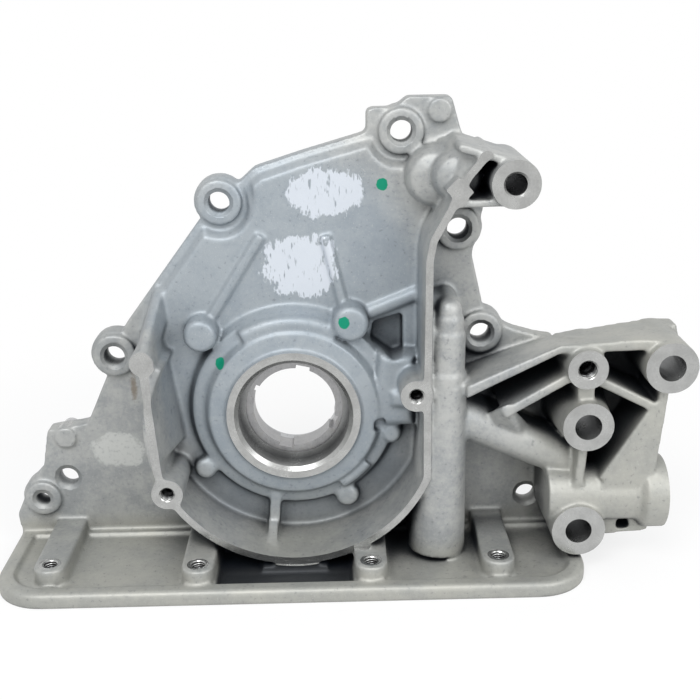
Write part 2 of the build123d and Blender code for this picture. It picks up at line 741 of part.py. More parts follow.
def cut_fixing_holes():
    """The bolt holes, the tapped holes and the dowel seats, with their lead-ins."""
    through = (top_hole, upper_left_hole, upper_right_hole, left_hole, right_hole,
               lower_left_hole, lower_right_hole)
    extrude(rounds(through, flange_hole_diameter / 2, 0), amount=boss_depth, mode=Mode.SUBTRACT)
    extrude(rounds([corner_boss], corner_hole_diameter / 2, 0), amount=boss_depth,
            mode=Mode.SUBTRACT)
    accessory = (upper_right_boss, centre_boss, lower_boss)
    extrude(rounds(accessory, accessory_hole_diameter / 2, 0), amount=accessory_depth,
            mode=Mode.SUBTRACT)
    extrude(rounds((left_dowel_place, upper_dowel_place), dowel_outer_diameter / 2 + thread_gap, 0),
            amount=dowel_seat_depth, mode=Mode.SUBTRACT)
    blind = (
        (right_wall_boss, cover_tap_diameter, cover_tap_depth, wall_depth),
        (left_wall_boss, cover_tap_diameter, cover_tap_depth, wall_depth),
        (tapped_boss, arm_tap_diameter, arm_tap_depth, accessory_depth),
        (tensioner_boss, tensioner_hole_diameter, tensioner_hole_depth, accessory_depth),
    )
    for place, diameter, length, face_depth in blind:
        with Locations(Plane(origin=in_space(place, face_depth), z_dir=(0, -1, 0))):
            CounterSinkHole(diameter / 2, diameter / 2 + hole_chamfer, length, 90)
    for x, reach in pan_screw_places:
        with Locations((x, -reach, pan_top + pan_boss_height)):
            CounterSinkHole(pan_tap_diameter / 2, pan_tap_diameter / 2 + hole_chamfer,
                            pan_tap_length, 90)


def make_housing():
    with BuildPart() as housing:
        add(make_flange())
        add(make_wall())
        add(make_bulge())
        add(make_inlet_bridge())
        add(make_riser())
        add(make_valve_body())
        add(make_arm())
        add(make_tensioner_bracket())
        add(make_pan_flange())
        dark_pocket = ((34.2, 37.0), (46.5, 40.5), (46.5, 24.0), (42.5, 22.5), (33.0, 29.5))
        extrude(polygon(dark_pocket, 5.5), amount=floor_depth + 10, mode=Mode.SUBTRACT)
        small_pocket = ((33.8, -9.0), (39.0, -9.6), (38.4, -3.0), (34.2, -3.6))
        extrude(polygon(small_pocket, 18.5), amount=10, mode=Mode.SUBTRACT)
        cut_back_pockets()
        cut_pump_chamber()
        cut_crank_passage()
        cut_oil_ways()
        cut_fixing_holes()
    return housing


def make_pump_cover():
    with BuildPart() as pump_cover:
        extrude(cover_outline(0), amount=cover_thickness)
        extrude(rounds([(0, 0)], cover_hole_diameter / 2, 0), amount=cover_thickness,
                mode=Mode.SUBTRACT)
        extrude(rounds([outlet_place], outlet_diameter / 2, 0), amount=cover_thickness,
                mode=Mode.SUBTRACT)
        with Locations(*[facing_back(place) for place in cover_screw_places]):
            CounterSinkHole(screw_hole_diameter / 2, screw_head_diameter / 2 + 2 * screw_head_sink,
                            cover_thickness, 90)
    return pump_cover


def make_screw():
    """A countersunk screw whose head lies at its origin and whose shank runs down -Z."""
    head_radius, shank_radius = screw_head_diameter / 2, screw_diameter / 2
    head_end = screw_head_sink + head_radius - shank_radius
    with BuildPart() as screw:
        with BuildSketch(Plane.XZ) as section:
            with BuildLine():
                Polyline((0, -screw_head_sink), (head_radius, -screw_head_sink),
                         (shank_radius, -head_end), (shank_radius, -screw_length + 0.5),
                         (shank_radius - 0.5, -screw_length), (0, -screw_length), close=True)
            make_face()
        revolve(section.sketch, axis=Axis.Z)
        with BuildSketch(Plane.XY.offset(-screw_head_sink)) as socket:
            RegularPolygon(screw_socket_width / 2, 6, major_radius=False)
        extrude(socket.sketch, amount=-screw_socket_depth, mode=Mode.SUBTRACT)
    return screw.part


def make_cover_screws():
    screw = make_screw()
    with BuildPart() as cover_screws:
        with Locations(*[facing_back(place) for place in cover_screw_places]):
            add(screw)
    return cover_screws


def tooth_curve(clearance, points_per_tooth=14):
    """The path of the outer rotor's lobes round the inner rotor, drawn in by their radius.

    The angle starts from -Z, where a tooth of the inner rotor points at a lobe.
    """
    lobes = inner_teeth + 1
    inset = lobe_radius + clearance
    points = []
    for step in range(inner_teeth * points_per_tooth):
        angle = 2 * math.pi * step / (inner_teeth * points_per_tooth)
        x = lobe_circle_radius * math.cos(angle) + rotor_offset * math.cos(lobes * angle)
        y = lobe_circle_radius * math.sin(angle) + rotor_offset * math.sin(lobes * angle)
        slope_x = -lobe_circle_radius * math.sin(angle)
        slope_x -= rotor_offset * lobes * math.sin(lobes * angle)
        slope_y = lobe_circle_radius * math.cos(angle)
        slope_y += rotor_offset * lobes * math.cos(lobes * angle)
        length = math.hypot(slope_x, slope_y)
        x -= inset * slope_y / length
        y += inset * slope_x / length
        points.append((y, -x))
    return points


def make_inner_rotor():
    bore_radius = crank_diameter / 2 + crank_clearance
    with BuildPart() as inner_rotor:
        with BuildSketch(at_depth(cover_thickness + side_clearance)) as section:
            with BuildLine():
                path = tooth_curve(tooth_clearance)
                for first in range(0, len(path), 2):
                    last = (first + 2) % len(path)
                    ThreePointArc(path[first], path[first + 1], path[last])
            make_face()
            Circle(bore_radius, mode=Mode.SUBTRACT)
            for angle in drive_notch_angles:
                with Locations(Location((0, 0), angle)):
                    with Locations((bore_radius, 0)):
                        Rectangle(2 * drive_notch_depth, drive_notch_width, mode=Mode.SUBTRACT)
        extrude(section.sketch, amount=chamber_length - 2 * side_clearance)
    return inner_rotor


def make_outer_rotor():
    root_radius = lobe_circle_radius - lobe_radius + 2 * rotor_offset + root_clearance
    lobes = inner_teeth + 1
    with BuildPart() as outer_rotor:
        with BuildSketch(at_depth(cover_thickness + side_clearance)) as section:
            with Locations((0, -rotor_offset)):
                Circle(outer_rotor_diameter / 2)
                Circle(root_radius, mode=Mode.SUBTRACT)
                with PolarLocations(lobe_circle_radius, lobes, start_angle=-90):
                    Circle(lobe_radius)
                Circle(outer_rotor_diameter / 2, mode=Mode.INTERSECT)
        extrude(section.sketch, amount=chamber_length - 2 * side_clearance)
    return outer_rotor


def turned(outline, axis_origin):
    """A body of revolution about the valve axis, from (along X, radius) points."""
    points = [(x - axis_origin, radius) for x, radius in outline]
    plane = Plane(origin=(axis_origin, *valve_axis), x_dir=(1, 0, 0), z_dir=(0, -1, 0))
    with BuildSketch(plane) as section:
        with BuildLine():
            Polyline(*points, close=True)
        make_face()
    revolve(section.sketch, axis=Axis((axis_origin, *valve_axis), (1, 0, 0)))


def make_relief_piston():
    radius, hole_radius = piston_diameter / 2, piston_hole_diameter / 2
    head_end = piston_start + piston_head
    groove_radius = radius - piston_groove_depth
    outline = [(piston_start, 0), (piston_start, radius - 0.8), (piston_start + 0.8, radius)]
    for groove in piston_grooves:
        start = piston_start + groove * piston_length
        outline += [(start, radius), (start, groove_radius),
                    (start + piston_groove_width, groove_radius),
                    (start + piston_groove_width, radius)]
    outline += [(piston_end, radius), (piston_end, hole_radius), (head_end, hole_radius),
                (head_end, 0)]
    with BuildPart() as relief_piston:
        turned(outline, piston_start)
    return relief_piston


def make_relief_spring():
    """A coil spring of eight-sided wire, bent in short straight runs."""
    wire_radius, coil_radius = spring_wire_diameter / 2, spring_mean_diameter / 2
    runs = round(spring_turns * spring_runs_per_turn)
    rise = (spring_end - spring_start - spring_wire_diameter) / runs
    bends = []
    for run in range(runs + 1):
        angle = 2 * math.pi * run / spring_runs_per_turn
        bends.append((spring_start + wire_radius + run * rise,
                      valve_axis[0] + coil_radius * math.cos(angle),
                      valve_axis[1] + coil_radius * math.sin(angle)))
    with BuildPart() as relief_spring:
        with BuildLine() as coil:
            Polyline(*bends)
        with BuildSketch(Plane(origin=coil.line @ 0, z_dir=coil.line % 0)) as wire:
            RegularPolygon(wire_radius, 8)
        sweep(wire.sketch, path=coil.line, transition=Transition.RIGHT)
    return relief_spring


def make_relief_plug():
    thread_radius, head_radius = plug_thread_diameter / 2, plug_head_diameter / 2
    pocket_radius = piston_hole_diameter / 2
    outline = [
        (plug_inner_end + plug_pocket_depth, 0), (plug_inner_end + plug_pocket_depth, pocket_radius),
        (plug_inner_end, pocket_radius), (plug_inner_end, thread_radius - 0.8),
        (plug_inner_end + 0.8, thread_radius), (plug_shoulder, thread_radius),
        (plug_shoulder, head_radius), (plug_outer_end - 0.8, head_radius),
        (plug_outer_end, head_radius - 0.8), (plug_outer_end, 0),
    ]
    with BuildPart() as relief_plug:
        turned(outline, plug_inner_end)
        with BuildSketch(Plane.YZ.offset(plug_outer_end)) as socket:
            with Locations(valve_axis):
                RegularPolygon(plug_socket_width / 2, 6, major_radius=False)
        extrude(socket.sketch, amount=-plug_socket_depth, mode=Mode.SUBTRACT)
    return relief_plug


def make_relief_washer():
    inner_radius, outer_radius = plug_thread_diameter / 2 + 0.2, plug_head_diameter / 2
    with BuildPart() as relief_washer:
        turned([(counterbore_floor, inner_radius), (counterbore_floor, outer_radius),
                (plug_shoulder, outer_radius), (plug_shoulder, inner_radius)], counterbore_floor)
    return relief_washer


def make_dowel_sleeve(place):
    with BuildPart() as sleeve:
        with BuildSketch(at_depth(dowel_seat_depth)) as section:
            with Locations(place):
                Circle(dowel_outer_diameter / 2)
                Circle(dowel_inner_diameter / 2, mode=Mode.SUBTRACT)
        extrude(section.sketch, amount=-dowel_length)
        chamfer(sleeve.edges().group_by(Axis.Y)[-1].sort_by(SortBy.RADIUS)[-1], dowel_chamfer)
    return sleeve


os.makedirs("parts", exist_ok=True)
pieces = {
    "housing": make_housing(),
    "pump_cover": make_pump_cover(),
    "cover_screws": make_cover_screws(),
    "inner_rotor": make_inner_rotor(),
    "outer_rotor": make_outer_rotor(),
    "relief_piston": make_relief_piston(),
    "relief_spring": make_relief_spring(),
    "relief_plug": make_relief_plug(),
    "relief_washer": make_relief_washer(),
    "upper_dowel_sleeve": make_dowel_sleeve(upper_dowel_place),
    "left_dowel_sleeve": make_dowel_sleeve(left_dowel_place),
}
for name, piece in pieces.items():
    piece.part.label = name
    export_step(piece.part, f"parts/{name}.step")
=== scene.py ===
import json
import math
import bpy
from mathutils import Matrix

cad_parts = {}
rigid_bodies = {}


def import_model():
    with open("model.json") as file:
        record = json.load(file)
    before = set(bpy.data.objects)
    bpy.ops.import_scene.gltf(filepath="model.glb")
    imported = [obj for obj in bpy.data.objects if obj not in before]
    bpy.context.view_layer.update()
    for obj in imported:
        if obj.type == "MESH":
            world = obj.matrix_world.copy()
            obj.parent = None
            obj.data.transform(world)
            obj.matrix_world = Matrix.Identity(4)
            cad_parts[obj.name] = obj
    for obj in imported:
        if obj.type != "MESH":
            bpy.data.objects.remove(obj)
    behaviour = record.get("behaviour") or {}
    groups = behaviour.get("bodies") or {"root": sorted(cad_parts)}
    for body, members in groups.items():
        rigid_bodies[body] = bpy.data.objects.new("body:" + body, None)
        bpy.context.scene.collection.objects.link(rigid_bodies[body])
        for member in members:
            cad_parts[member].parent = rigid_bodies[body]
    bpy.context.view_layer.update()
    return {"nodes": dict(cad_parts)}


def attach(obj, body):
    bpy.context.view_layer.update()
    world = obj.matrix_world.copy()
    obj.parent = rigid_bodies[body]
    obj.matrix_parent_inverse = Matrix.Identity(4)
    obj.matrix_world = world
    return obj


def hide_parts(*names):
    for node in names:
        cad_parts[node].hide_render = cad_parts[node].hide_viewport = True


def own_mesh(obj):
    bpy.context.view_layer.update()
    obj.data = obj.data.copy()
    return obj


bl_info = {
    "name": "Engine Oil Pump",
    "version": (1, 0, 0),
    "blender": (4, 5, 0),
    "location": "3D View > Sidebar > Oil Pump",
    "description": "Die-cast oil pump housing with machined faces, threads and steel pieces",
    "category": "Object",
}

from functools import reduce

import bmesh
import bpy
from mathutils import Matrix, Vector

# Lengths are in millimetres; the settings, the lamps and the camera's place are in metres.
MM = 0.001

for leftover in list(bpy.data.objects):
    bpy.data.objects.remove(leftover)
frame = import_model()

FRONT, RIGHT, UP = Vector((0, -1, 0)), Vector((1, 0, 0)), Vector((0, 0, 1))

# Depths of the milled faces from the block face, and the milled ends of the pan flange and valve
SEAL_FACE, WALL_FACE, ARM_FACE = 26.0, 41.0, 44.0
PAN_FACE, VALVE_MOUTH = -66.0, 155.5

# Places on the front, as X and Z
RING_HOLES = ((46.4, 115.7), (-28.2, 88.4), (69.6, 75.8), (-76.1, 23.5), (79.9, 30.4))
LOW_HOLES = ((-101.8, -33.8), (102.3, -46.7))
CORNER_HOLE = (-113.3, -42.9)
ARM_BOSSES = ((152.5, 24.4), (120.2, -0.2), (118.4, -47.0))
ARM_TAP = (118.8, 24.4)
TENSIONER = (87.8, 99.1)
WALL_TAPS = ((50.6, 13.7), (-52.9, -27.5))
DOWEL_SEATS = ((-101.0, -14.4), (62.0, 123.5))
COVER_SCREWS = ((-37.8, 35.0), (24.7, 39.2), (41.4, -11.5), (-39.4, -26.7), (22.1, -41.1))
VALVE_FEED = (113.0, -35.5)
CRANK_AXIS, ROTOR_AXIS = (0.0, 0.0), (0.0, -2.8)

# Places seen from above as X and Y, and the valve's axis as Y and Z
PAN_TAPS = ((-102.0, -49.0), (-40.5, -52.0), (31.0, -52.0), (84.0, -50.0))
RISER_AXIS = (61.0, -30.0)
VALVE_AXIS = (-30.0, -35.5)

# Holes through faces that stay as cast: places, radius, and the depths where they start and end
CAST_HOLES = (
    (RING_HOLES, 4.5, 0.0, 11.0),
    (LOW_HOLES, 4.5, 0.0, 8.0),
    ((CORNER_HOLE,), 3.3, 0.0, 11.0),
)

# Bored holes and seats, in the same columns; the last four belong to the pump itself
BORED_HOLES = (
    (ARM_BOSSES, 5.5, 0.0, ARM_FACE),
    ((ARM_TAP,), 4.2, 20.0, ARM_FACE),
    ((TENSIONER,), 5.0, 18.0, ARM_FACE),
    (WALL_TAPS, 3.3, 25.0, WALL_FACE),
    (DOWEL_SEATS, 4.02, 0.0, 6.5),
    (COVER_SCREWS, 2.52, 0.0, 15.5),
    ((VALVE_FEED,), 3.5, 0.0, 30.0),
    ((ROTOR_AXIS,), 37.1, 0.0, 14.5),
    ((CRANK_AXIS,), 59.0, 0.0, 4.5),
    ((CRANK_AXIS,), 32.0, 0.0, 18.7),
    ((CRANK_AXIS,), 25.1, 14.0, SEAL_FACE),
)

# Bores along X or Z: radius, start and end
VALVE_BORES = ((4.0, 109.5, 126.0), (7.03, 126.0, 145.3), (9.02, 144.8, 150.6),
               (11.5, 150.6, VALVE_MOUTH))
RISER_BORE = (5.5, PAN_FACE, 12.0)
PAN_BORE = (3.3, PAN_FACE, -54.0)

# Radii of the milled pads: the arm's bosses, its tapped boss, the tensioner, the seal, the valve
PAD_RADII = (10.75, 10.5, 11.25, 8.25, 9.5)
SEAL_PAD, VALVE_PAD = 28.0, 15.5

# Threads: name, feet, direction, radius, ends of the full bore, and start and length of the ridge
M6_RADIUS, M8_RADIUS = 3.0, 4.0
THREADS = (
    ("wall_threads", [(x, 0, z) for x, z in WALL_TAPS], FRONT, M6_RADIUS, (27.0, 40.6),
     (40.3, 13.0)),
    ("pan_threads", [(x, y, 0) for x, y in PAN_TAPS], UP, M6_RADIUS, (-65.6, -54.4), (-54.7, 10.5)),
    ("arm_thread", [(ARM_TAP[0], 0, ARM_TAP[1])], FRONT, M8_RADIUS, (22.0, 43.6), (43.2, 21.0)),
)

# The recess wall's milled top: its half width, its round bottom, its runs, lips and pads
WALL_HALF, WALL_ARC = 1.5, 59.5
ARC_START, ARC_END, ARC_STEPS = -22.4, -152.5, 36
RIGHT_RUN = ((77.2, 110.4), (70.5, 102.5), (66.7, 96.3), (64.3, 90.6), (57.0, 77.5), (55.5, 69.3),
             (55.0, 16.0))
LEFT_RUN = ((-55.8, -19.8), (-59.2, 29.8))
DIAMOND = ((61.3, 97.0), (66.2, 101.8), (72.2, 96.2), (67.2, 90.8))
LEFT_LIPS = (((-55.0, -13.0), (-58.0, 29.0), (-60.5, 31.0), (-56.0, -20.0)),
             ((-62.0, 31.0), (-57.0, 28.0), (-56.0, 33.0), (-57.5, 35.0), (-60.0, 35.0)))
WALL_PADS = ((50.6, 13.7, 6.7), (-52.9, -27.5, 6.7), (-59.2, 29.8, 5.0))

# How far the CAD wall's top is sunk under the milled one, and how deep the stock roots in it
RIB_SINK, STOCK_ROOT = 0.35, 2.0

# How far the fillers of holes reach past them: around, before and beyond
FILL_ROUND, FILL_BEFORE, FILL_BEYOND = 0.6, 0.6, 0.3

# How far the cutting shells reach: around each kind of form, before, beyond, in front of and under
BORE_ROUND, DRILL_ROUND, PAD_ROUND, WALL_ROUND = 1.2, 1.4, 1.5, 0.8
SHELL_BEFORE, SHELL_BEYOND, SHELL_FRONT, SHELL_SINK = 2.5, 0.8, 2.5, 0.02
BLOCK_SHELL = ((-150.0, -SHELL_SINK, -80.0), (175.0, 4.0, 140.0))
PAN_SHELL = ((-150.0, -75.0, -70.0), (175.0, 5.0, PAN_FACE + SHELL_SINK))

# Tolerances for merging doubles and for finding a flat face, in metres
SAME_POINT, SAME_FACE = 2e-6, 1e-5

# Angles above which an edge stays crisp, on the skin and between machined faces
SKIN_CREASE, MACHINED_CREASE = 0.7, 0.45

ROD_SIDES, ROUND_SIDES, TIP_SIDES, TIP_RADIUS = 64, 16, 8, 0.01

# Marks on the casting: place, squeeze and radius of each rubbed patch, then the other marks
RUBBED_PATCHES = (((15.5, -12.5, 92.0), (1.0, 0.4, 1.55), 15.0),
                  ((4.5, -12.5, 62.0), (1.0, 0.4, 1.20), 15.5))
PALE_PATCH, PALE_SQUEEZE = (-78.3, -8.0, -21.2), (0.78, 0.4, 1.12)
BROWN_RUN, BROWN_SQUEEZE = (-69.4, -8.0, 8.0), (4.2, 0.3, 1.0)
PAINTED_DOTS = ((38.4, -12.5, 94.9), (21.9, -24.5, 40.3), (-30.0, -19.0, 22.2))
DOT_SQUEEZE = (1.0, 0.5, 0.9)
RECESS_MIDDLE, RECESS_SQUEEZE = (0.0, -8.0, 32.0), (1.0, 0.9, 0.78)

# The crank's axis, and the squeeze that measures a distance from it across the depth
CRANK_MIDDLE, IN_PLANE = (0.0, 0.0, 0.0), (1.0, 0.0, 1.0)

# Colours of the casting's specks, pits, shaded floor, rubbed and pale patches and brown run
SPECK, PIT, SHADED = (0.60, 0.60, 0.59), (0.15, 0.155, 0.16), (0.130, 0.150, 0.170)
RUBBED, PALE, BROWN = (0.66, 0.70, 0.76), (0.56, 0.57, 0.55), (0.17, 0.12, 0.07)

# Spacing of the tool marks round a hole and along it
RING_MARKS, BORE_MARKS = 0.42, 0.50

# Steels: name, colour, roughness, grain, tint of the blots, share of pores, nodes that have it
STEELS = (
    ("sintered_steel", (0.40, 0.40, 0.405), 0.36, 0.35, (0.30, 0.29, 0.27), 0.6,
     ("inner_rotor", "outer_rotor")),
    ("ground_plate", (0.52, 0.53, 0.54), 0.30, 0.6, (0.44, 0.43, 0.40), 0.0, ("pump_cover",)),
    ("zinc_screw", (0.62, 0.62, 0.59), 0.32, 0.5, (0.56, 0.52, 0.40), 0.0, ("cover_screws",)),
    ("zinc_plug", (0.64, 0.62, 0.56), 0.34, 0.6, (0.52, 0.50, 0.44), 0.0, ("relief_plug",)),
    ("ground_steel", (0.58, 0.58, 0.59), 0.24, 0.4, (0.50, 0.50, 0.50), 0.0,
     ("relief_piston", "upper_dowel_sleeve", "left_dowel_sleeve")),
    ("spring_wire", (0.34, 0.35, 0.37), 0.38, 0.5, (0.26, 0.27, 0.31), 0.0, ()),
    ("soft_washer", (0.70, 0.70, 0.71), 0.40, 0.7, (0.60, 0.60, 0.60), 0.0, ("relief_washer",)),
)
PORE = (0.06, 0.06, 0.06)

# Stage: light of the surroundings, floor and its glow from near to far, lamps and camera
SKY_COLOUR, SKY_STRENGTH = (0.97, 0.985, 1.0, 1.0), 0.62
FLOOR_LEVEL, FLOOR_REACH, FLOOR_CELLS, FLOOR_ROUGH = -66.2, 3000.0, 8, 0.9
GLOW_NEAR, GLOW_FAR, GLOW_LEAST = 100.0, 360.0, 0.74
LAMPS = (("key", (-0.22, -0.66, 0.78), (0.02, -0.02, 0.02), 0.55, 6.6),
         ("fill", (0.66, -0.66, 0.50), (0.05, -0.02, 0.0), 0.60, 4.4))
CAMERA_PLACE = (0.019002, -0.446046, 0.169647)
CAMERA_TILT, CAMERA_TURN, CAMERA_ROLL = 18.5, 0.7, 1.0
SENSOR, FOCAL_PIXELS, IMAGE_PIXELS = 36.0, 1076, 700


def mesh_object(name, shape):
    """Makes an object of a bmesh that holds metres."""
    mesh = bpy.data.meshes.new(name)
    shape.to_mesh(mesh)
    shape.free()
    piece = bpy.data.objects.new(name, mesh)
    bpy.context.scene.collection.objects.link(piece)
    return piece


def add_rod(shape, foot, along, radius, start, end):
    """Adds a closed cylinder to a bmesh, from start to end along a direction from its foot."""
    turn = UP.rotation_difference(along).to_matrix().to_4x4()
    middle = (Vector(foot) + along * ((start + end) / 2)) * MM
    bmesh.ops.create_cone(shape, cap_ends=True, segments=ROD_SIDES, radius1=radius * MM,
                          radius2=radius * MM, depth=(end - start) * MM,
                          matrix=Matrix.Translation(middle) @ turn)


def add_slab(shape, low, high):
    """Adds a closed box to a bmesh, between two corners."""
    low, high = Vector(low) * MM, Vector(high) * MM
    sizes = Matrix.Diagonal((*(high - low), 1.0))
    bmesh.ops.create_cube(shape, size=1.0, matrix=Matrix.Translation((low + high) / 2) @ sizes)


def add_hull(shape, points):
    """Adds the closed convex body round a few points to a bmesh."""
    corners = [shape.verts.new(Vector(point) * MM) for point in points]
    bmesh.ops.convex_hull(shape, input=corners)
    loose = [corner for corner in corners if not corner.link_faces]
    bmesh.ops.delete(shape, geom=loose, context="VERTS")


def add_prism(shape, outline, start, end):
    """Adds a closed convex body over an outline of X and Z, between two depths."""
    add_hull(shape, [(x, -depth, z) for depth in (start, end) for x, z in outline])


def ring(place, radius, sides=ROUND_SIDES):
    """The corners of a round outline, as X and Z."""
    return [(place[0] + radius * math.cos(2 * math.pi * step / sides),
             place[1] + radius * math.sin(2 * math.pi * step / sides)) for step in range(sides)]


def merged_copy(node):
    """A bmesh of a CAD node with its doubles merged."""
    shape = bmesh.new()
    shape.from_mesh(frame["nodes"][node].data)
    bmesh.ops.remove_doubles(shape, verts=shape.verts, dist=SAME_POINT)
    return shape


def settle(piece):
    """Turns a piece's modifiers into plain mesh."""
    view = bpy.context.evaluated_depsgraph_get()
    mesh = bpy.data.meshes.new_from_object(piece.evaluated_get(view), depsgraph=view)
    piece.modifiers.clear()
    old, piece.data = piece.data, mesh
    bpy.data.meshes.remove(old)


def add_step(piece, kind, **settings):
    """Adds one modifier with its settings."""
    step = piece.modifiers.new(kind.lower(), kind)
    for key, value in settings.items():
        setattr(step, key, value)


def add_boolean(piece, operation, other, **settings):
    """Adds a boolean of closed bodies."""
    add_step(piece, "BOOLEAN", operation=operation, object=other, solver="MANIFOLD", **settings)


def drop(*pieces):
    """Removes helper objects."""
    for piece in pieces:
        bpy.data.objects.remove(piece)


class Wire:
    """A number that runs along a shader link, and takes part in sums and products."""

    def __init__(self, finish, socket):
        self.finish, self.socket = finish, socket

    def both(self, operation, first, second):
        """The wire of an operation on two numbers."""
        return self.finish.reckon(operation, first, second)

    def __add__(self, other):
        return self.both("ADD", self, other)

    def __radd__(self, other):
        return self.both("ADD", other, self)

    def __sub__(self, other):
        return self.both("SUBTRACT", self, other)

    def __rsub__(self, other):
        return self.both("SUBTRACT", other, self)

    def __mul__(self, other):
        return self.both("MULTIPLY", self, other)

    def __rmul__(self, other):
        return self.both("MULTIPLY", other, self)


class Finish:
    """One procedural material on Object coordinates."""

    def __init__(self, name, rough, metallic):
        self.material = bpy.data.materials.new(name)
        self.material.use_nodes = True
        self.tree = self.material.node_tree
        self.shader = self.tree.nodes["Principled BSDF"]
        self.shader.inputs["Roughness"].default_value = rough
        self.shader.inputs["Metallic"].default_value = metallic
        self.place = self.node("ShaderNodeTexCoord", out="Object")

    def node(self, kind, settings=None, sockets=None, out=0):
        """Makes a node, sets it up, feeds its sockets and gives the wire of one output."""
        made = self.tree.nodes.new(kind)
        for key, value in (settings or {}).items():
            setattr(made, key, value)
        for key, value in (sockets or {}).items():
            self.feed(made.inputs[key], value)
        return Wire(self, made.outputs[out])

    def feed(self, socket, value):
        """Links a wire to a socket, or sets the socket to a plain value."""
        if isinstance(value, Wire):
            self.tree.links.new(value.socket, socket)
        elif isinstance(value, tuple) and len(value) == 3 and socket.type == "RGBA":
            socket.default_value = (*value, 1.0)
        else:
            socket.default_value = value

    def reckon(self, operation, *numbers):
        """The wire of an operation on one or two numbers."""
        return self.node("ShaderNodeMath", {"operation": operation}, dict(enumerate(numbers)))

    def least(self, first, second):
        """The smaller one of two numbers."""
        return self.reckon("MINIMUM", first, second)

    def noise(self, grain_mm, detail, stretch=None):
        """Noise whose blots are about that many millimetres wide."""
        place = self.place
        if stretch:
            place = self.node("ShaderNodeMapping", None, {"Vector": place, "Scale": stretch})
        return self.node("ShaderNodeTexNoise", None, {
            "Vector": place, "Scale": 1000.0 / grain_mm, "Detail": detail, "Roughness": 0.55})

    def between(self, value, low, high, to_low=0.0, to_high=1.0):
        """Maps a number smoothly from one span to another."""
        return self.node("ShaderNodeMapRange", {"interpolation_type": "SMOOTHSTEP"}, {
            "Value": value, "From Min": low, "From Max": high, "To Min": to_low, "To Max": to_high})

    def fade(self, length, outer, inner):
        """0 at the outer limit and 1 at the inner one, both in millimetres."""
        return self.between(length, outer * MM, inner * MM)

    def within(self, length, low, full_low, full_high, high):
        """1 between the two full limits and 0 beyond the outer ones, in millimetres."""
        return self.fade(length, low, full_low) * self.fade(length, high, full_high)

    def blend(self, share, first, second):
        """Mixes two colours."""
        return self.node("ShaderNodeMix", {"data_type": "RGBA"}, {0: share, 6: first, 7: second}, 2)

    def distance(self, point, squeeze=(1.0, 1.0, 1.0)):
        """The distance from a point in millimetres, in metres, with each axis squeezed."""
        local = self.node("ShaderNodeVectorMath", {"operation": "SUBTRACT"},
                          {0: self.place, 1: tuple(Vector(point) * MM)})
        local = self.node("ShaderNodeVectorMath", {"operation": "MULTIPLY"}, {0: local, 1: squeeze})
        return self.node("ShaderNodeVectorMath", {"operation": "LENGTH"}, {0: local}, "Value")

    def openness(self, reach_mm):
        """1 on an open face, near 0 in a deep hollow of about that size."""
        return self.node("ShaderNodeAmbientOcclusion", {"samples": 12},
                         {"Distance": reach_mm * MM}, "AO")

    def along(self, axis):
        """One coordinate of the place, in metres."""
        return self.node("ShaderNodeSeparateXYZ", None, {0: self.place}, axis)

    def colour(self, value):
        """Sets the colour of the surface."""
        self.feed(self.shader.inputs["Base Color"], value)

    def roughness(self, value):
        """Sets how dull the surface is."""
        self.feed(self.shader.inputs["Roughness"], value)

    def metallic(self, value):
        """Sets how far the surface is bare metal."""
        self.feed(self.shader.inputs["Metallic"], value)

    def bump(self, height, depth_mm, strength=1.0):
        """Raises the surface by a height from 0 to 1, times a depth."""
        normal = self.node("ShaderNodeBump", None, {
            "Height": height, "Distance": depth_mm * MM, "Strength": strength})
        self.feed(self.shader.inputs["Normal"], normal)


def ragged(length, *rims):
    """Makes the rim of a mark uneven by noises, each with its reach in millimetres."""
    for noise, reach_mm in rims:
        length = length + (noise - 0.5) * (reach_mm * MM)
    return length


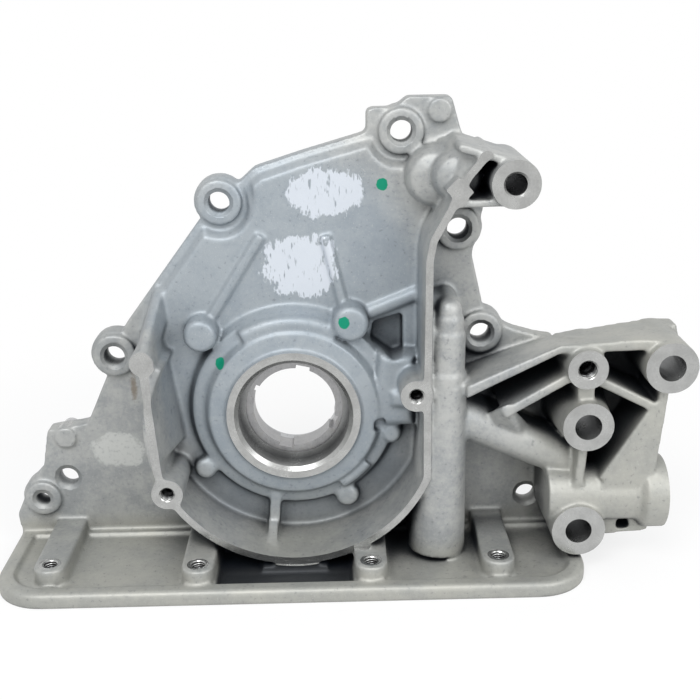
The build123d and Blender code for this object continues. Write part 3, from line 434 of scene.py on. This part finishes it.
class OilPumpSettings(bpy.types.PropertyGroup):
    """Colours and sizes that the panel offers"""
    cast_light: bpy.props.FloatVectorProperty(
        name="Casting, light", description="Lighter colour of the blasted aluminium",
        default=(0.415, 0.420, 0.408), subtype="COLOR", min=0.0, max=1.0)
    cast_dark: bpy.props.FloatVectorProperty(
        name="Casting, dark", description="Darker colour of the blasted aluminium",
        default=(0.285, 0.298, 0.302), subtype="COLOR", min=0.0, max=1.0)
    # Colour of the painted shade in the hollows, the creases and the low pan pocket
    cast_shade: bpy.props.FloatVectorProperty(
        name="Casting, in the hollows", description="Colour in the deep corners",
        default=(0.008, 0.011, 0.017), subtype="COLOR", min=0.0, max=1.0)
    machined: bpy.props.FloatVectorProperty(
        name="Machined aluminium", description="Colour of the milled, bored and turned faces",
        default=(0.475, 0.480, 0.470), subtype="COLOR", min=0.0, max=1.0)
    cast_cool: bpy.props.FloatVectorProperty(
        name="Casting, cool", description="Bluish tint of the recess and the panel",
        default=(0.265, 0.320, 0.375), subtype="COLOR", min=0.0, max=1.0)
    cast_warm: bpy.props.FloatVectorProperty(
        name="Casting, warm", description="Cream tint of the pan flange and the arm",
        default=(0.372, 0.364, 0.312), subtype="COLOR", min=0.0, max=1.0)
    # Colour of the painted shade inside the bores
    bore_shade: bpy.props.FloatVectorProperty(
        name="Bores", description="Colour of the machined walls inside a bore",
        default=(0.040, 0.042, 0.048), subtype="COLOR", min=0.0, max=1.0)
    mark_paint: bpy.props.FloatVectorProperty(
        name="Inspection paint", description="Colour of the three painted dots",
        default=(0.002, 0.215, 0.125), subtype="COLOR", min=0.0, max=1.0)
    skin_grid: bpy.props.FloatProperty(
        name="Skin grid", description="Grid size from which the cast skin is grown",
        default=0.0008, unit="LENGTH", min=0.0005, max=0.003)
    machining_stock: bpy.props.FloatProperty(
        name="Machining stock", description="Metal that is cast on and then milled off a face",
        default=0.001, unit="LENGTH", min=0.0005, max=0.002)
    skin_faces: bpy.props.IntProperty(
        name="Skin faces", description="Triangles that are kept of the cast skin",
        default=165000, min=20000, max=180000)
    thread_pitch: bpy.props.FloatProperty(
        name="Pitch of the M6 threads", description="Advance of the thread in one turn",
        default=0.001, unit="LENGTH", min=0.0005, max=0.002)
    arm_thread_pitch: bpy.props.FloatProperty(
        name="Pitch of the M8 thread", description="Advance of the arm's thread in one turn",
        default=0.00125, unit="LENGTH", min=0.0005, max=0.002)
    floor_colour: bpy.props.FloatVectorProperty(
        name="Floor", description="Colour of the studio floor",
        default=(0.86, 0.86, 0.86), subtype="COLOR", min=0.0, max=1.0)


def cast_finish(look):
    """Blasted die-cast aluminium with painted shade in the hollows, and its rubbed and painted
    marks.
    """
    metal = Finish("blasted_aluminium", 0.52, 0.45)
    metal.shader.inputs["Specular IOR Level"].default_value = 0.22
    cloud, blot = metal.noise(22.0, 4.0), metal.noise(5.0, 3.0)
    grain, pits = metal.noise(0.55, 2.0), metal.noise(1.6, 2.0)
    tone = metal.between(cloud * 0.5 + blot * 0.3 + pits * 0.2, 0.36, 0.64)
    base = metal.blend(tone, tuple(look.cast_dark), tuple(look.cast_light))

    # The recess and the panel are cooler, the pan flange and the arm warmer
    across, depth, height = metal.along("X"), metal.along("Y"), metal.along("Z")
    inward = metal.distance(RECESS_MIDDLE, RECESS_SQUEEZE)
    cool = metal.fade(inward, 72.0, 50.0) * metal.fade(depth, -36.0, -24.0)
    base = metal.blend(cool * 0.55, base, tuple(look.cast_cool))
    warm = metal.least(metal.fade(height, -50.0, -58.0) + metal.fade(across, 85.0, 120.0), 1.0)
    base = metal.blend(warm * (0.25 + cloud * 0.4), base, tuple(look.cast_warm))

    # Bright specks of the blast and dark pits
    base = metal.blend(metal.between(grain, 0.62, 0.74) * 0.30, base, SPECK)
    base = metal.blend(metal.between(pits, 0.36, 0.28) * 0.35, base, PIT)

    # Painted shade: the floor of the recess is darker round its bottom, and the low pan pocket is
    # painted black
    shaded = metal.within(metal.distance(CRANK_MIDDLE, IN_PLANE), 36.0, 44.0, 56.0, 60.0)
    shaded = shaded * metal.fade(depth, -17.0, -13.0) * metal.fade(height, -18.0, -32.0)
    base = metal.blend(shaded * 0.50, base, SHADED)
    pocket = metal.within(height, -65.6, -65.0, -61.0, -60.2)
    pocket = pocket * metal.within(across, -34.0, -32.5, 23.0, 24.5)
    pocket = pocket * metal.within(depth, -58.0, -56.5, -24.0, -20.0)
    base = metal.blend(pocket * 0.92, base, tuple(look.cast_shade))

    # Painted shade: the hollows and creases are darkened by their ambient occlusion, less so in the
    # wide hollow by the riser
    open_web = metal.within(across, 66.0, 70.0, 100.0, 108.0)
    open_web = open_web * metal.fade(height, 2.0, -6.0) * metal.fade(depth, -18.0, -12.0)
    hollow = metal.between(metal.openness(40.0), 0.47, 0.11) * (1.0 - open_web * 0.65)
    crease_shade = metal.between(metal.openness(7.0), 0.62, 0.22)
    base = metal.blend(hollow * 0.95, base, tuple(look.cast_shade))
    base = metal.blend(crease_shade * 0.55, base, tuple(look.cast_shade))

    # Two rubbed patches on the panel and a pale one on the flange, on the front only
    panel_front, flange_front = metal.fade(depth, -9.5, -11.0), metal.fade(depth, -5.5, -6.8)
    streaks = metal.noise(1.3, 2.0, (1.0, 1.0, 0.25))
    rubbed = sum(
        metal.fade(ragged(metal.distance(place, squeeze), (blot, 12.0), (streaks, 10.0)),
                   radius + 0.8, radius - 0.8)
        for place, squeeze, radius in RUBBED_PATCHES)
    rubbed = rubbed * metal.between(streaks, 0.28, 0.40) * panel_front
    base = metal.blend(rubbed * 0.80, base, RUBBED)
    rim = ragged(metal.distance(PALE_PATCH, PALE_SQUEEZE), (blot, 8.0), (pits, 6.0))
    pale = metal.fade(rim, 10.2, 8.0) * metal.between(pits, 0.24, 0.50, 0.45, 1.0)
    base = metal.blend(pale * flange_front * 0.78, base, PALE)

    # A rust-brown run below the left ring
    rim = ragged(metal.distance(BROWN_RUN, BROWN_SQUEEZE), (pits, 10.0))
    base = metal.blend(metal.fade(rim, 8.5, 2.0) * flange_front * 0.60, base, BROWN)

    # Painted dots of the inspection
    dots = panel_front * sum(
        metal.fade(ragged(metal.distance(place, DOT_SQUEEZE), (pits, 0.8)), 2.45, 2.15)
        for place in PAINTED_DOTS)
    base = metal.blend(dots, base, tuple(look.mark_paint))
    metal.colour(base)
    metal.metallic(0.45 - dots * 0.45)
    metal.roughness(0.50 + hollow * 0.15 - rubbed * 0.12 + dots * 0.05 + (blot - 0.5) * 0.12)
    metal.bump(grain * 0.45 + pits * 0.35 + cloud * 0.20, 0.16, 0.75)
    return metal.material


def machined_finish(look):
    """Milled and bored aluminium with rings of tool marks round each hole, and painted shade inside
    the bores.
    """
    metal = Finish("machined_aluminium", 0.25, 0.92)
    centres = (*RING_HOLES, *LOW_HOLES, CORNER_HOLE, ARM_TAP, TENSIONER, CRANK_AXIS, *ARM_BOSSES)
    nearest = reduce(metal.least, [metal.distance(front_foot(place), IN_PLANE)
                                   for place in centres])
    rings = metal.reckon("SINE", nearest * (2 * math.pi / (RING_MARKS * MM)))
    turns = metal.reckon("SINE", metal.along("Y") * (2 * math.pi / (BORE_MARKS * MM)))
    blot, grain = metal.noise(7.0, 3.0), metal.noise(0.8, 2.0)
    marks = rings * 0.5 + turns * 0.5
    tone = metal.between(blot * 0.7 + grain * 0.3 + marks * 0.08, 0.32, 0.68)
    darker = tuple(channel * 0.80 for channel in look.machined)
    base = metal.blend(tone, darker, tuple(look.machined))

    # Painted shade inside the bores: a little in the seal bore, most in the narrow ones
    narrow = metal.between(metal.openness(12.0), 0.62, 0.22)
    seal = metal.fade(metal.distance(CRANK_MIDDLE, IN_PLANE), 26.2, 24.0)
    wide = metal.between(metal.openness(45.0), 0.90, 0.45) * seal
    base = metal.blend(wide * 0.55, base, tuple(look.bore_shade))
    base = metal.blend(narrow * 0.80, base, tuple(look.bore_shade))
    metal.colour(base)
    metal.roughness(0.22 + (blot - 0.5) * 0.14 + grain * 0.06)
    metal.bump(marks * 0.5 + grain * 0.3, 0.02, 0.5)
    return metal.material


def steel_finish(name, colour, rough, grain_mm, tint, pores):
    """Steel with a fine grain, soft blots of another tint, and pores where it is sintered."""
    metal = Finish(name, rough, 0.95)
    blot, grain = metal.noise(4.0, 3.0), metal.noise(grain_mm, 2.0)
    lines = metal.noise(grain_mm * 1.5, 2.0, (1.0, 1.0, 0.12))
    tone = metal.between(blot * 0.6 + lines * 0.4, 0.35, 0.65)
    base = metal.blend(tone, tuple(0.8 * channel for channel in colour), colour)
    base = metal.blend(metal.between(blot, 0.52, 0.70) * 0.4, base, tint)
    base = metal.blend(metal.between(grain, 0.40, 0.30) * pores, base, PORE)
    metal.colour(base)
    metal.roughness(rough + (blot - 0.5) * 0.16 + (lines - 0.5) * 0.1)
    metal.bump(lines * 0.5 + grain * 0.5, 0.03, 0.6)
    return metal.material


def front_foot(place):
    """The point on the block face behind a place on the front."""
    return (place[0], 0.0, place[1])


def front_holes(rows):
    """The holes of a table one by one: foot, direction, radius, start and end."""
    return [(front_foot(place), FRONT, *sizes) for places, *sizes in rows for place in places]


def bored_holes():
    """Every bored hole, as front_holes gives them."""
    holes = front_holes(BORED_HOLES)
    holes += [((0.0, *VALVE_AXIS), RIGHT, *sizes) for sizes in VALVE_BORES]
    holes.append(((*RISER_AXIS, 0.0), UP, *RISER_BORE))
    holes += [((x, y, 0.0), UP, *PAN_BORE) for x, y in PAN_TAPS]
    return holes


def faced_areas():
    """Round areas whose face is milled: foot, direction, radius and height of the face."""
    pads = zip((*ARM_BOSSES, ARM_TAP, TENSIONER), PAD_RADII)
    areas = [(front_foot(place), FRONT, radius, ARM_FACE) for place, radius in pads]
    areas.append((front_foot(CRANK_AXIS), FRONT, SEAL_PAD, SEAL_FACE))
    areas.append(((0.0, *VALVE_AXIS), RIGHT, VALVE_PAD, VALVE_MOUTH))
    return areas


def wall_top_outlines(margin):
    """The milled top of the recess wall, as overlapping convex outlines of X and Z."""
    sweep = math.radians(ARC_END - ARC_START)
    arc = []
    for step in range(ARC_STEPS + 1):
        angle = math.radians(ARC_START) + sweep * step / ARC_STEPS
        arc.append((WALL_ARC * math.cos(angle), WALL_ARC * math.sin(angle)))
    run = [*RIGHT_RUN, *arc, *LEFT_RUN]
    half = WALL_HALF + margin
    outlines = [ring(start, half) + ring(end, half) for start, end in zip(run, run[1:])]
    outlines += [ring((x, z), radius + margin) for x, z, radius in WALL_PADS]
    for corners in (DIAMOND, *LEFT_LIPS):
        outlines.append([point for place in corners
                         for point in ring(place, margin + TIP_RADIUS, TIP_SIDES)])
    return outlines


def add_cast_details(shape):
    """Fillets, gussets and filled corners of the casting that soften its plain ribs."""
    # Corner of the arm between its right rib and the slanting one, down to the valve
    add_prism(shape, ((149.3, 5.0), (151.9, 2.0), (149.6, -31.0), (127.0, -31.0), (128.5, -27.0)),
              9.0, 40.4)
    add_prism(shape, ((121.0, -21.0), (149.0, -21.0), (148.5, -36.0), (121.0, -36.0)), 8.5, 12.0)
    # Notched gusset between the lower boss and the mouth of the valve
    for outline in (((126.0, -44.0), (138.0, -46.0), (136.5, -54.8), (128.0, -55.0)),
                    ((141.5, -46.0), (151.0, -46.0), (150.5, -53.4), (143.5, -54.0)),
                    ((128.0, -52.6), (150.5, -51.6), (150.5, -53.4), (128.0, -55.0))):
        add_prism(shape, outline, 26.0, 33.0)
    # Flange that sweeps from the right ring up to the arm
    for outline in (((84.0, 36.5), (89.0, 33.6), (94.0, 31.4), (94.0, 20.0), (84.0, 20.0)),
                    ((94.0, 31.4), (99.0, 29.4), (104.0, 28.4), (104.0, 20.0), (94.0, 20.0)),
                    ((104.0, 28.4), (112.0, 27.0), (112.0, 20.0), (104.0, 20.0))):
        add_prism(shape, outline, 0.5, 7.9)
    # Hip between the tensioner bracket's roof and the shoulder of the wall
    add_hull(shape, ((61.0, -9.0, 100.0), (61.0, -9.0, 112.0), (68.5, -9.0, 114.2),
                     (78.0, -9.0, 110.8), (71.0, -9.0, 102.5), (63.5, -27.0, 101.5),
                     (64.5, -23.0, 111.0), (69.0, -30.0, 112.8), (77.0, -39.6, 110.6),
                     (70.4, -39.8, 102.6), (66.0, -36.0, 100.5)))
    # Crown over the inlet duct beside the right tapped pad
    add_hull(shape, [(x, -depth, 6.0 + side * half) for side in (-1, 1) for x, depth, half in (
        (39.5, 22.0, 4.2), (55.0, 22.0, 4.6), (42.0, 24.6, 1.6), (50.0, 26.8, 1.9),
        (55.0, 27.8, 2.1))])
    # Web between the recess wall and the riser, up to the riser's head
    add_hull(shape, [(x, -depth, z) for x in (56.3, 64.0) for depth, z in (
        (8.0, -20.0), (35.0, -20.0), (35.0, 38.0), (31.5, 45.5), (23.0, 50.5), (8.0, 50.5))])
    # Foot of the arm's lower rib on the oil duct
    add_hull(shape, ((84.9, -40.2, 8.0), (86.9, -40.2, 4.4), (90.0, -40.2, 6.0), (88.2, -40.2, 9.6),
                     (80.0, -27.0, 0.0), (83.0, -31.0, -4.5), (96.0, -31.0, -10.0),
                     (99.0, -26.0, -5.0)))
    # Rib at the bottom of the recess, low on the floor and then up the round wall
    low_rib = [(-9.4, -40.5), (-10.5, -54.0)]
    add_prism(shape, ring(low_rib[0], 2.3) + ring(low_rib[1], 2.3), 12.0, 19.4)
    add_hull(shape, [(x, -depth, z) for x in (-13.0, -8.8) for depth, z in (
        (13.0, -51.0), (19.4, -51.0), (37.5, -58.8), (13.0, -59.5))])


def lone_body(add, *form):
    """One closed body as an object of its own."""
    shape = bmesh.new()
    add(shape, *form)
    return mesh_object("helper", shape)


def relieved_forms():
    """Closed bodies of what the casting lacks: its low pan pocket and trimmed ends."""
    pocket = [(x, y, z) for z, inset in ((-59.0, 0.0), (-64.8, 1.2))
              for x, y in ((-33.0 + inset, -40.9 - inset), (23.5 - inset, -40.9 - inset),
                           (23.5 - inset, -57.5 + inset), (-33.0 + inset, -57.5 + inset))]
    forms = [pocket]
    for low, high in ((-33.0, -15.0), (13.0, 23.5)):
        forms.append([(x, y, z) for x in (low, high) for y in (-24.0, -43.0)
                      for z in (-59.4, -64.4)])
    # The arm's upper strip ends where it meets the riser
    front = 46.0
    for near_x, near_depth, far_x, far_depth in ((61.0, 39.9, 66.0, 39.2), (66.0, 39.2, 69.0, 37.3),
                                                 (69.0, 37.3, 70.9, 35.0)):
        forms.append([(x, -depth, z) for z in (5.0, 25.0) for x, depth in (
            (near_x, near_depth), (far_x, far_depth), (far_x, front), (near_x, front))])
    # The tapped boss stays under the slope of the strip
    forms.append([(x, -depth, z) for x, depth, low in (
        (109.0, 7.5, 28.2), (128.5, 7.5, 31.9), (109.0, 38.0, 34.6), (128.5, 38.0, 35.6))
        for z in (low, 42.0)])
    return [lone_body(add_hull, form) for form in forms]


def relieved_solid():
    """The housing's CAD solid, less what the casting lacks."""
    solid = mesh_object("relieved_housing", merged_copy("housing"))
    solid.data.materials.clear()
    forms = relieved_forms()
    for form in forms:
        add_boolean(solid, "DIFFERENCE", form)
    settle(solid)
    drop(*forms)
    return solid


def cast_blank(solid, look):
    """The casting before machining: its skin with soft edges, stock on its faces, no holes."""
    shape = bmesh.new()
    shape.from_mesh(solid.data)
    stock = look.machining_stock
    for vertex in shape.verts:
        point = vertex.co
        if abs(point.y) < SAME_FACE:
            point.y += stock
        elif min(abs(point.y + face * MM) for face in (SEAL_FACE, ARM_FACE)) < SAME_FACE:
            point.y -= stock
        elif abs(point.y + WALL_FACE * MM) < SAME_FACE:
            point.y += RIB_SINK * MM
        if abs(point.z - PAN_FACE * MM) < SAME_FACE:
            point.z -= stock
        if abs(point.x - VALVE_MOUTH * MM) < SAME_FACE:
            point.x += stock
    add_cast_details(shape)
    for outline in wall_top_outlines(0.0):
        add_prism(shape, outline, WALL_FACE - STOCK_ROOT, WALL_FACE + stock / MM)
    for foot, along, radius, start, end in bored_holes() + front_holes(CAST_HOLES):
        add_rod(shape, foot, along, radius + FILL_ROUND, start - FILL_BEFORE, end + FILL_BEYOND)
    blank = mesh_object("cast_housing", shape)
    add_step(blank, "REMESH", mode="VOXEL", voxel_size=look.skin_grid, adaptivity=0.0)
    add_step(blank, "SMOOTH", factor=0.5, iterations=6)
    add_step(blank, "TRIANGULATE")
    settle(blank)
    add_step(blank, "DECIMATE", ratio=look.skin_faces / len(blank.data.polygons))
    settle(blank)
    return blank


def hole_shells(holes, margin):
    """Closed shells round holes, which also reach past both ends."""
    return [lone_body(add_rod, foot, along, radius + margin, start - SHELL_BEFORE,
                      end + SHELL_BEYOND) for foot, along, radius, start, end in holes]


def machining_shells():
    """Closed shells round every bored hole and in front of every milled face."""
    shells = hole_shells(bored_holes(), BORE_ROUND)
    shells += [lone_body(add_rod, foot, along, radius + PAD_ROUND, face - SHELL_SINK,
                         face + SHELL_FRONT) for foot, along, radius, face in faced_areas()]
    shells += [lone_body(add_slab, *corners) for corners in (BLOCK_SHELL, PAN_SHELL)]
    shells += [lone_body(add_prism, outline, WALL_FACE - SHELL_SINK, WALL_FACE + SHELL_FRONT)
               for outline in wall_top_outlines(WALL_ROUND)]
    return shells


def cut_to_size(blank, shells, solid, material):
    """Cuts the blank inside the shells to the exact shape of the solid."""
    cutter = shells[0]
    for shell in shells[1:]:
        add_boolean(cutter, "UNION", shell)
    add_boolean(cutter, "DIFFERENCE", solid)
    settle(cutter)
    cutter.data.materials.clear()
    cutter.data.materials.append(material)
    add_boolean(blank, "DIFFERENCE", cutter, material_mode="TRANSFER")
    settle(blank)
    drop(*shells)


def part_finishes(mesh):
    """Keeps a crisp edge round every machined face and between two that meet at an angle."""
    shape = bmesh.new()
    shape.from_mesh(mesh)
    for edge in shape.edges:
        finishes = {face.material_index for face in edge.link_faces}
        bent = edge.calc_face_angle(0.0) > MACHINED_CREASE
        if len(finishes) > 1 or (finishes == {1} and bent):
            edge.smooth = False
    shape.to_mesh(mesh)
    shape.free()


def tap_cutters(material):
    """Plain bores at the full diameter of the threads, which the ridges then fill."""
    shape = bmesh.new()
    for name, feet, along, radius, bore, ridge in THREADS:
        for foot in feet:
            add_rod(shape, foot, along, radius, *bore)
    cutter = mesh_object("tap_cutter", shape)
    cutter.data.materials.append(material)
    return cutter


class OILPUMP_OT_cast_housing(bpy.types.Operator):
    """Grows the cast skin from the CAD housing and machines its holes and faces"""
    bl_idname = "oilpump.cast_housing"
    bl_label = "Cast housing"

    def execute(self, context):
        look = context.scene.oil_pump
        cast, machined = cast_finish(look), machined_finish(look)
        solid = relieved_solid()
        blank = cast_blank(solid, look)
        blank.data.materials.clear()
        blank.data.materials.append(cast)
        drills = hole_shells(front_holes(CAST_HOLES), DRILL_ROUND)
        cut_to_size(blank, machining_shells(), solid, machined)
        cut_to_size(blank, drills, solid, cast)
        taps = tap_cutters(machined)
        add_boolean(blank, "DIFFERENCE", taps, material_mode="TRANSFER")
        settle(blank)
        drop(solid, taps)
        if len(blank.data.materials) != 2:
            raise RuntimeError("The machined faces of the housing were not marked")
        blank.data.set_sharp_from_angle(angle=SKIN_CREASE)
        part_finishes(blank.data)
        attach(blank, "body")
        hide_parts("housing")
        return {"FINISHED"}


def thread_tree():
    """A tree that winds one thread and sets it at every point, along the point's direction."""
    tree = bpy.data.node_groups.new("screw_thread", "GeometryNodeTree")
    face = tree.interface
    face.new_socket("Geometry", in_out="INPUT", socket_type="NodeSocketGeometry")
    for name in ("Radius", "Pitch", "Length"):
        face.new_socket(name, in_out="INPUT", socket_type="NodeSocketFloat")
    face.new_socket("Material", in_out="INPUT", socket_type="NodeSocketMaterial")
    face.new_socket("Geometry", in_out="OUTPUT", socket_type="NodeSocketGeometry")

    def node(kind, settings=None, *in_order, **by_name):
        made = tree.nodes.new(kind)
        for key, value in (settings or {}).items():
            setattr(made, key, value)
        fed = list(zip(made.inputs, in_order))
        fed += [(made.inputs[key.replace("_", " ")], value) for key, value in by_name.items()]
        for socket, value in fed:
            if isinstance(value, bpy.types.NodeSocket):
                tree.links.new(value, socket)
            else:
                socket.default_value = value
        return made.outputs

    given = node("NodeGroupInput")
    turns = node("ShaderNodeMath", {"operation": "DIVIDE"}, given["Length"], given["Pitch"])
    ridge = node("ShaderNodeMath", {"operation": "MULTIPLY"}, given["Pitch"], 0.5)
    path = node("GeometryNodeCurveSpiral", None, Resolution=40, Rotations=turns[0],
                Start_Radius=given["Radius"], End_Radius=given["Radius"], Height=given["Length"])
    section = node("GeometryNodeCurvePrimitiveCircle", None, Resolution=4, Radius=ridge[0])
    wound = node("GeometryNodeCurveToMesh", None, Curve=path["Curve"],
                 Profile_Curve=section["Curve"], Fill_Caps=True)
    direction = node("GeometryNodeInputNamedAttribute", {"data_type": "FLOAT_VECTOR"},
                     Name="direction")
    turn = node("FunctionNodeAlignRotationToVector", {"axis": "Z"}, Vector=direction["Attribute"])
    placed = node("GeometryNodeInstanceOnPoints", None, Points=given["Geometry"],
                  Instance=wound["Mesh"], Rotation=turn["Rotation"])
    real = node("GeometryNodeRealizeInstances", None, Geometry=placed["Instances"])
    dressed = node("GeometryNodeSetMaterial", None, Geometry=real["Geometry"],
                   Material=given["Material"])
    node("NodeGroupOutput", None, Geometry=dressed["Geometry"])
    return tree


def wind_threads(tree, name, starts, inward, sizes, material):
    """Winds equal threads from several starts, and makes them one plain mesh."""
    mesh = bpy.data.meshes.new(name)
    mesh.from_pydata([Vector(start) * MM for start in starts], [], [])
    course = mesh.attributes.new("direction", "FLOAT_VECTOR", "POINT")
    for entry in course.data:
        entry.vector = inward
    piece = bpy.data.objects.new(name, mesh)
    bpy.context.scene.collection.objects.link(piece)
    step = piece.modifiers.new("thread", "NODES")
    step.node_group = tree
    identifiers = {item.name: item.identifier for item in tree.interface.items_tree
                   if item.in_out == "INPUT"}
    for key, value in sizes.items():
        step[identifiers[key]] = value
    step[identifiers["Material"]] = material
    settle(piece)
    if not piece.data.polygons:
        raise RuntimeError(f"{name} came out empty")
    shape = bmesh.new()
    shape.from_mesh(piece.data)
    bmesh.ops.recalc_face_normals(shape, faces=shape.faces)
    shape.to_mesh(piece.data)
    shape.free()
    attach(piece, "body")


class OILPUMP_OT_threads(bpy.types.Operator):
    """Cuts the threads of the recess wall, the pan flange and the arm"""
    bl_idname = "oilpump.threads"
    bl_label = "Threads"

    def execute(self, context):
        look = context.scene.oil_pump
        tree, material = thread_tree(), bpy.data.materials["machined_aluminium"]
        pitches = {M6_RADIUS: look.thread_pitch, M8_RADIUS: look.arm_thread_pitch}
        for name, feet, along, radius, bore, (start, length) in THREADS:
            sizes = {"Radius": radius * MM, "Pitch": pitches[radius], "Length": length * MM}
            starts = [Vector(foot) + along * start for foot in feet]
            wind_threads(tree, name, starts, -along, sizes, material)
        return {"FINISHED"}


def coil_spring(material):
    """A copy of the valve spring with its own mesh, in the given finish."""
    shape = merged_copy("relief_spring")
    spring = mesh_object("coil_spring", shape)
    spring.data.materials.clear()
    spring.data.materials.append(material)
    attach(spring, "body")
    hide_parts("relief_spring")
    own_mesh(spring)


class OILPUMP_OT_steel_pieces(bpy.types.Operator):
    """Gives the rotors, cover, screws, sleeves and valve pieces their metals"""
    bl_idname = "oilpump.steel_pieces"
    bl_label = "Steel pieces"

    def execute(self, context):
        for name, colour, rough, grain_mm, tint, pores, nodes in STEELS:
            material = steel_finish(name, colour, rough, grain_mm, tint, pores)
            for piece in (frame["nodes"][node] for node in nodes):
                for slot in piece.material_slots:
                    slot.material = material
                if not piece.material_slots:
                    piece.data.materials.append(material)
        coil_spring(bpy.data.materials["spring_wire"])
        return {"FINISHED"}


def background_share(tree):
    """1 for what the camera, a mirror or a glass sees, 0 for what lights the object."""
    path = tree.nodes.new("ShaderNodeLightPath")
    total = path.outputs["Is Camera Ray"]
    for name in ("Is Glossy Ray", "Is Transmission Ray"):
        larger = tree.nodes.new("ShaderNodeMath")
        larger.operation = "MAXIMUM"
        tree.links.new(total, larger.inputs[0])
        tree.links.new(path.outputs[name], larger.inputs[1])
        total = larger.outputs[0]
    return total


def make_world():
    """A pale surrounding that shows white and lights evenly."""
    world = bpy.data.worlds.new("studio")
    bpy.context.scene.world = world
    world.use_nodes = True
    tree = world.node_tree
    lighting = tree.nodes["Background"]
    lighting.inputs["Color"].default_value = SKY_COLOUR
    lighting.inputs["Strength"].default_value = SKY_STRENGTH
    shown = tree.nodes.new("ShaderNodeBackground")
    shown.inputs["Color"].default_value = (1.0, 1.0, 1.0, 1.0)
    mix = tree.nodes.new("ShaderNodeMixShader")
    tree.links.new(background_share(tree), mix.inputs[0])
    tree.links.new(lighting.outputs[0], mix.inputs[1])
    tree.links.new(shown.outputs[0], mix.inputs[2])
    tree.links.new(mix.outputs[0], tree.nodes["World Output"].inputs[0])


def make_floor(colour):
    """A wide pale floor just under the pan rail."""
    shape = bmesh.new()
    size = Matrix.Diagonal((FLOOR_REACH * MM, FLOOR_REACH * MM, 1.0, 1.0))
    level = Matrix.Translation((0, 0, FLOOR_LEVEL * MM))
    bmesh.ops.create_grid(shape, x_segments=FLOOR_CELLS, y_segments=FLOOR_CELLS, size=1.0,
                          matrix=level @ size)
    floor = mesh_object("studio_floor", shape)
    ground = Finish("studio_floor", FLOOR_ROUGH, 0.0)
    ground.colour(colour)
    glow = ground.node("ShaderNodeEmission")
    brighter = ground.between(ground.distance(CRANK_MIDDLE), GLOW_NEAR * MM, GLOW_FAR * MM,
                              GLOW_LEAST, 1.0)
    share = Wire(ground, background_share(ground.tree)) * brighter
    plain = Wire(ground, ground.shader.outputs[0])
    shown = ground.node("ShaderNodeMixShader", None, {0: share, 1: plain, 2: glow})
    ground.feed(ground.tree.nodes["Material Output"].inputs[0], shown)
    floor.data.materials.append(ground.material)


def make_lamp(name, place, target, size, power):
    """A square lamp that looks at a target."""
    light = bpy.data.lights.new(name, "AREA")
    light.energy, light.size = power, size
    lamp = bpy.data.objects.new(name, light)
    bpy.context.scene.collection.objects.link(lamp)
    lamp.location = place
    aim = Vector(target) - Vector(place)
    lamp.rotation_euler = aim.to_track_quat("-Z", "Y").to_euler()


def make_camera():
    """The camera of the photograph, tilted down and a little turned and rolled."""
    tilt, turn, roll = (math.radians(angle) for angle in (CAMERA_TILT, CAMERA_TURN, CAMERA_ROLL))
    ahead = Vector((math.sin(turn) * math.cos(tilt), math.cos(turn) * math.cos(tilt),
                    -math.sin(tilt)))
    level = Vector((math.cos(turn), -math.sin(turn), 0.0))
    upright = level.cross(ahead)
    right = level * math.cos(roll) - upright * math.sin(roll)
    top = upright * math.cos(roll) + level * math.sin(roll)
    camera = bpy.data.objects.new("camera", bpy.data.cameras.new("camera"))
    bpy.context.scene.collection.objects.link(camera)
    camera.data.sensor_width = SENSOR
    camera.data.lens = SENSOR * FOCAL_PIXELS / IMAGE_PIXELS
    camera.location = CAMERA_PLACE
    camera.rotation_euler = Matrix((right, top, -ahead)).transposed().to_euler()
    bpy.context.scene.camera = camera


class OILPUMP_OT_stage(bpy.types.Operator):
    """Sets the floor, the soft lamps, the pale surrounding and the camera"""
    bl_idname = "oilpump.stage"
    bl_label = "Stage"

    def execute(self, context):
        make_world()
        make_floor(tuple(context.scene.oil_pump.floor_colour))
        for lamp in LAMPS:
            make_lamp(*lamp)
        make_camera()
        context.scene.view_settings.view_transform = "Standard"
        return {"FINISHED"}


class OILPUMP_PT_panel(bpy.types.Panel):
    """Settings and steps of the oil pump"""
    bl_idname = "OILPUMP_PT_panel"
    bl_label = "Oil Pump"
    bl_space_type = "VIEW_3D"
    bl_region_type = "UI"
    bl_category = "Oil Pump"

    def draw(self, context):
        look = context.scene.oil_pump
        for name in look.bl_rna.properties.keys():
            if name not in ("rna_type", "name"):
                self.layout.prop(look, name)
        for operator in OPERATORS:
            self.layout.operator(operator.bl_idname)


OPERATORS = (OILPUMP_OT_cast_housing, OILPUMP_OT_threads, OILPUMP_OT_steel_pieces,
             OILPUMP_OT_stage)
CLASSES = (OilPumpSettings,) + OPERATORS + (OILPUMP_PT_panel,)


def register():
    for item in CLASSES:
        bpy.utils.register_class(item)
    bpy.types.Scene.oil_pump = bpy.props.PointerProperty(type=OilPumpSettings)


def unregister():
    del bpy.types.Scene.oil_pump
    for item in reversed(CLASSES):
        bpy.utils.unregister_class(item)


def main():
    register()
    bpy.ops.oilpump.cast_housing()
    bpy.ops.oilpump.threads()
    bpy.ops.oilpump.steel_pieces()
    bpy.ops.oilpump.stage()


if __name__ == "__main__":
    main()
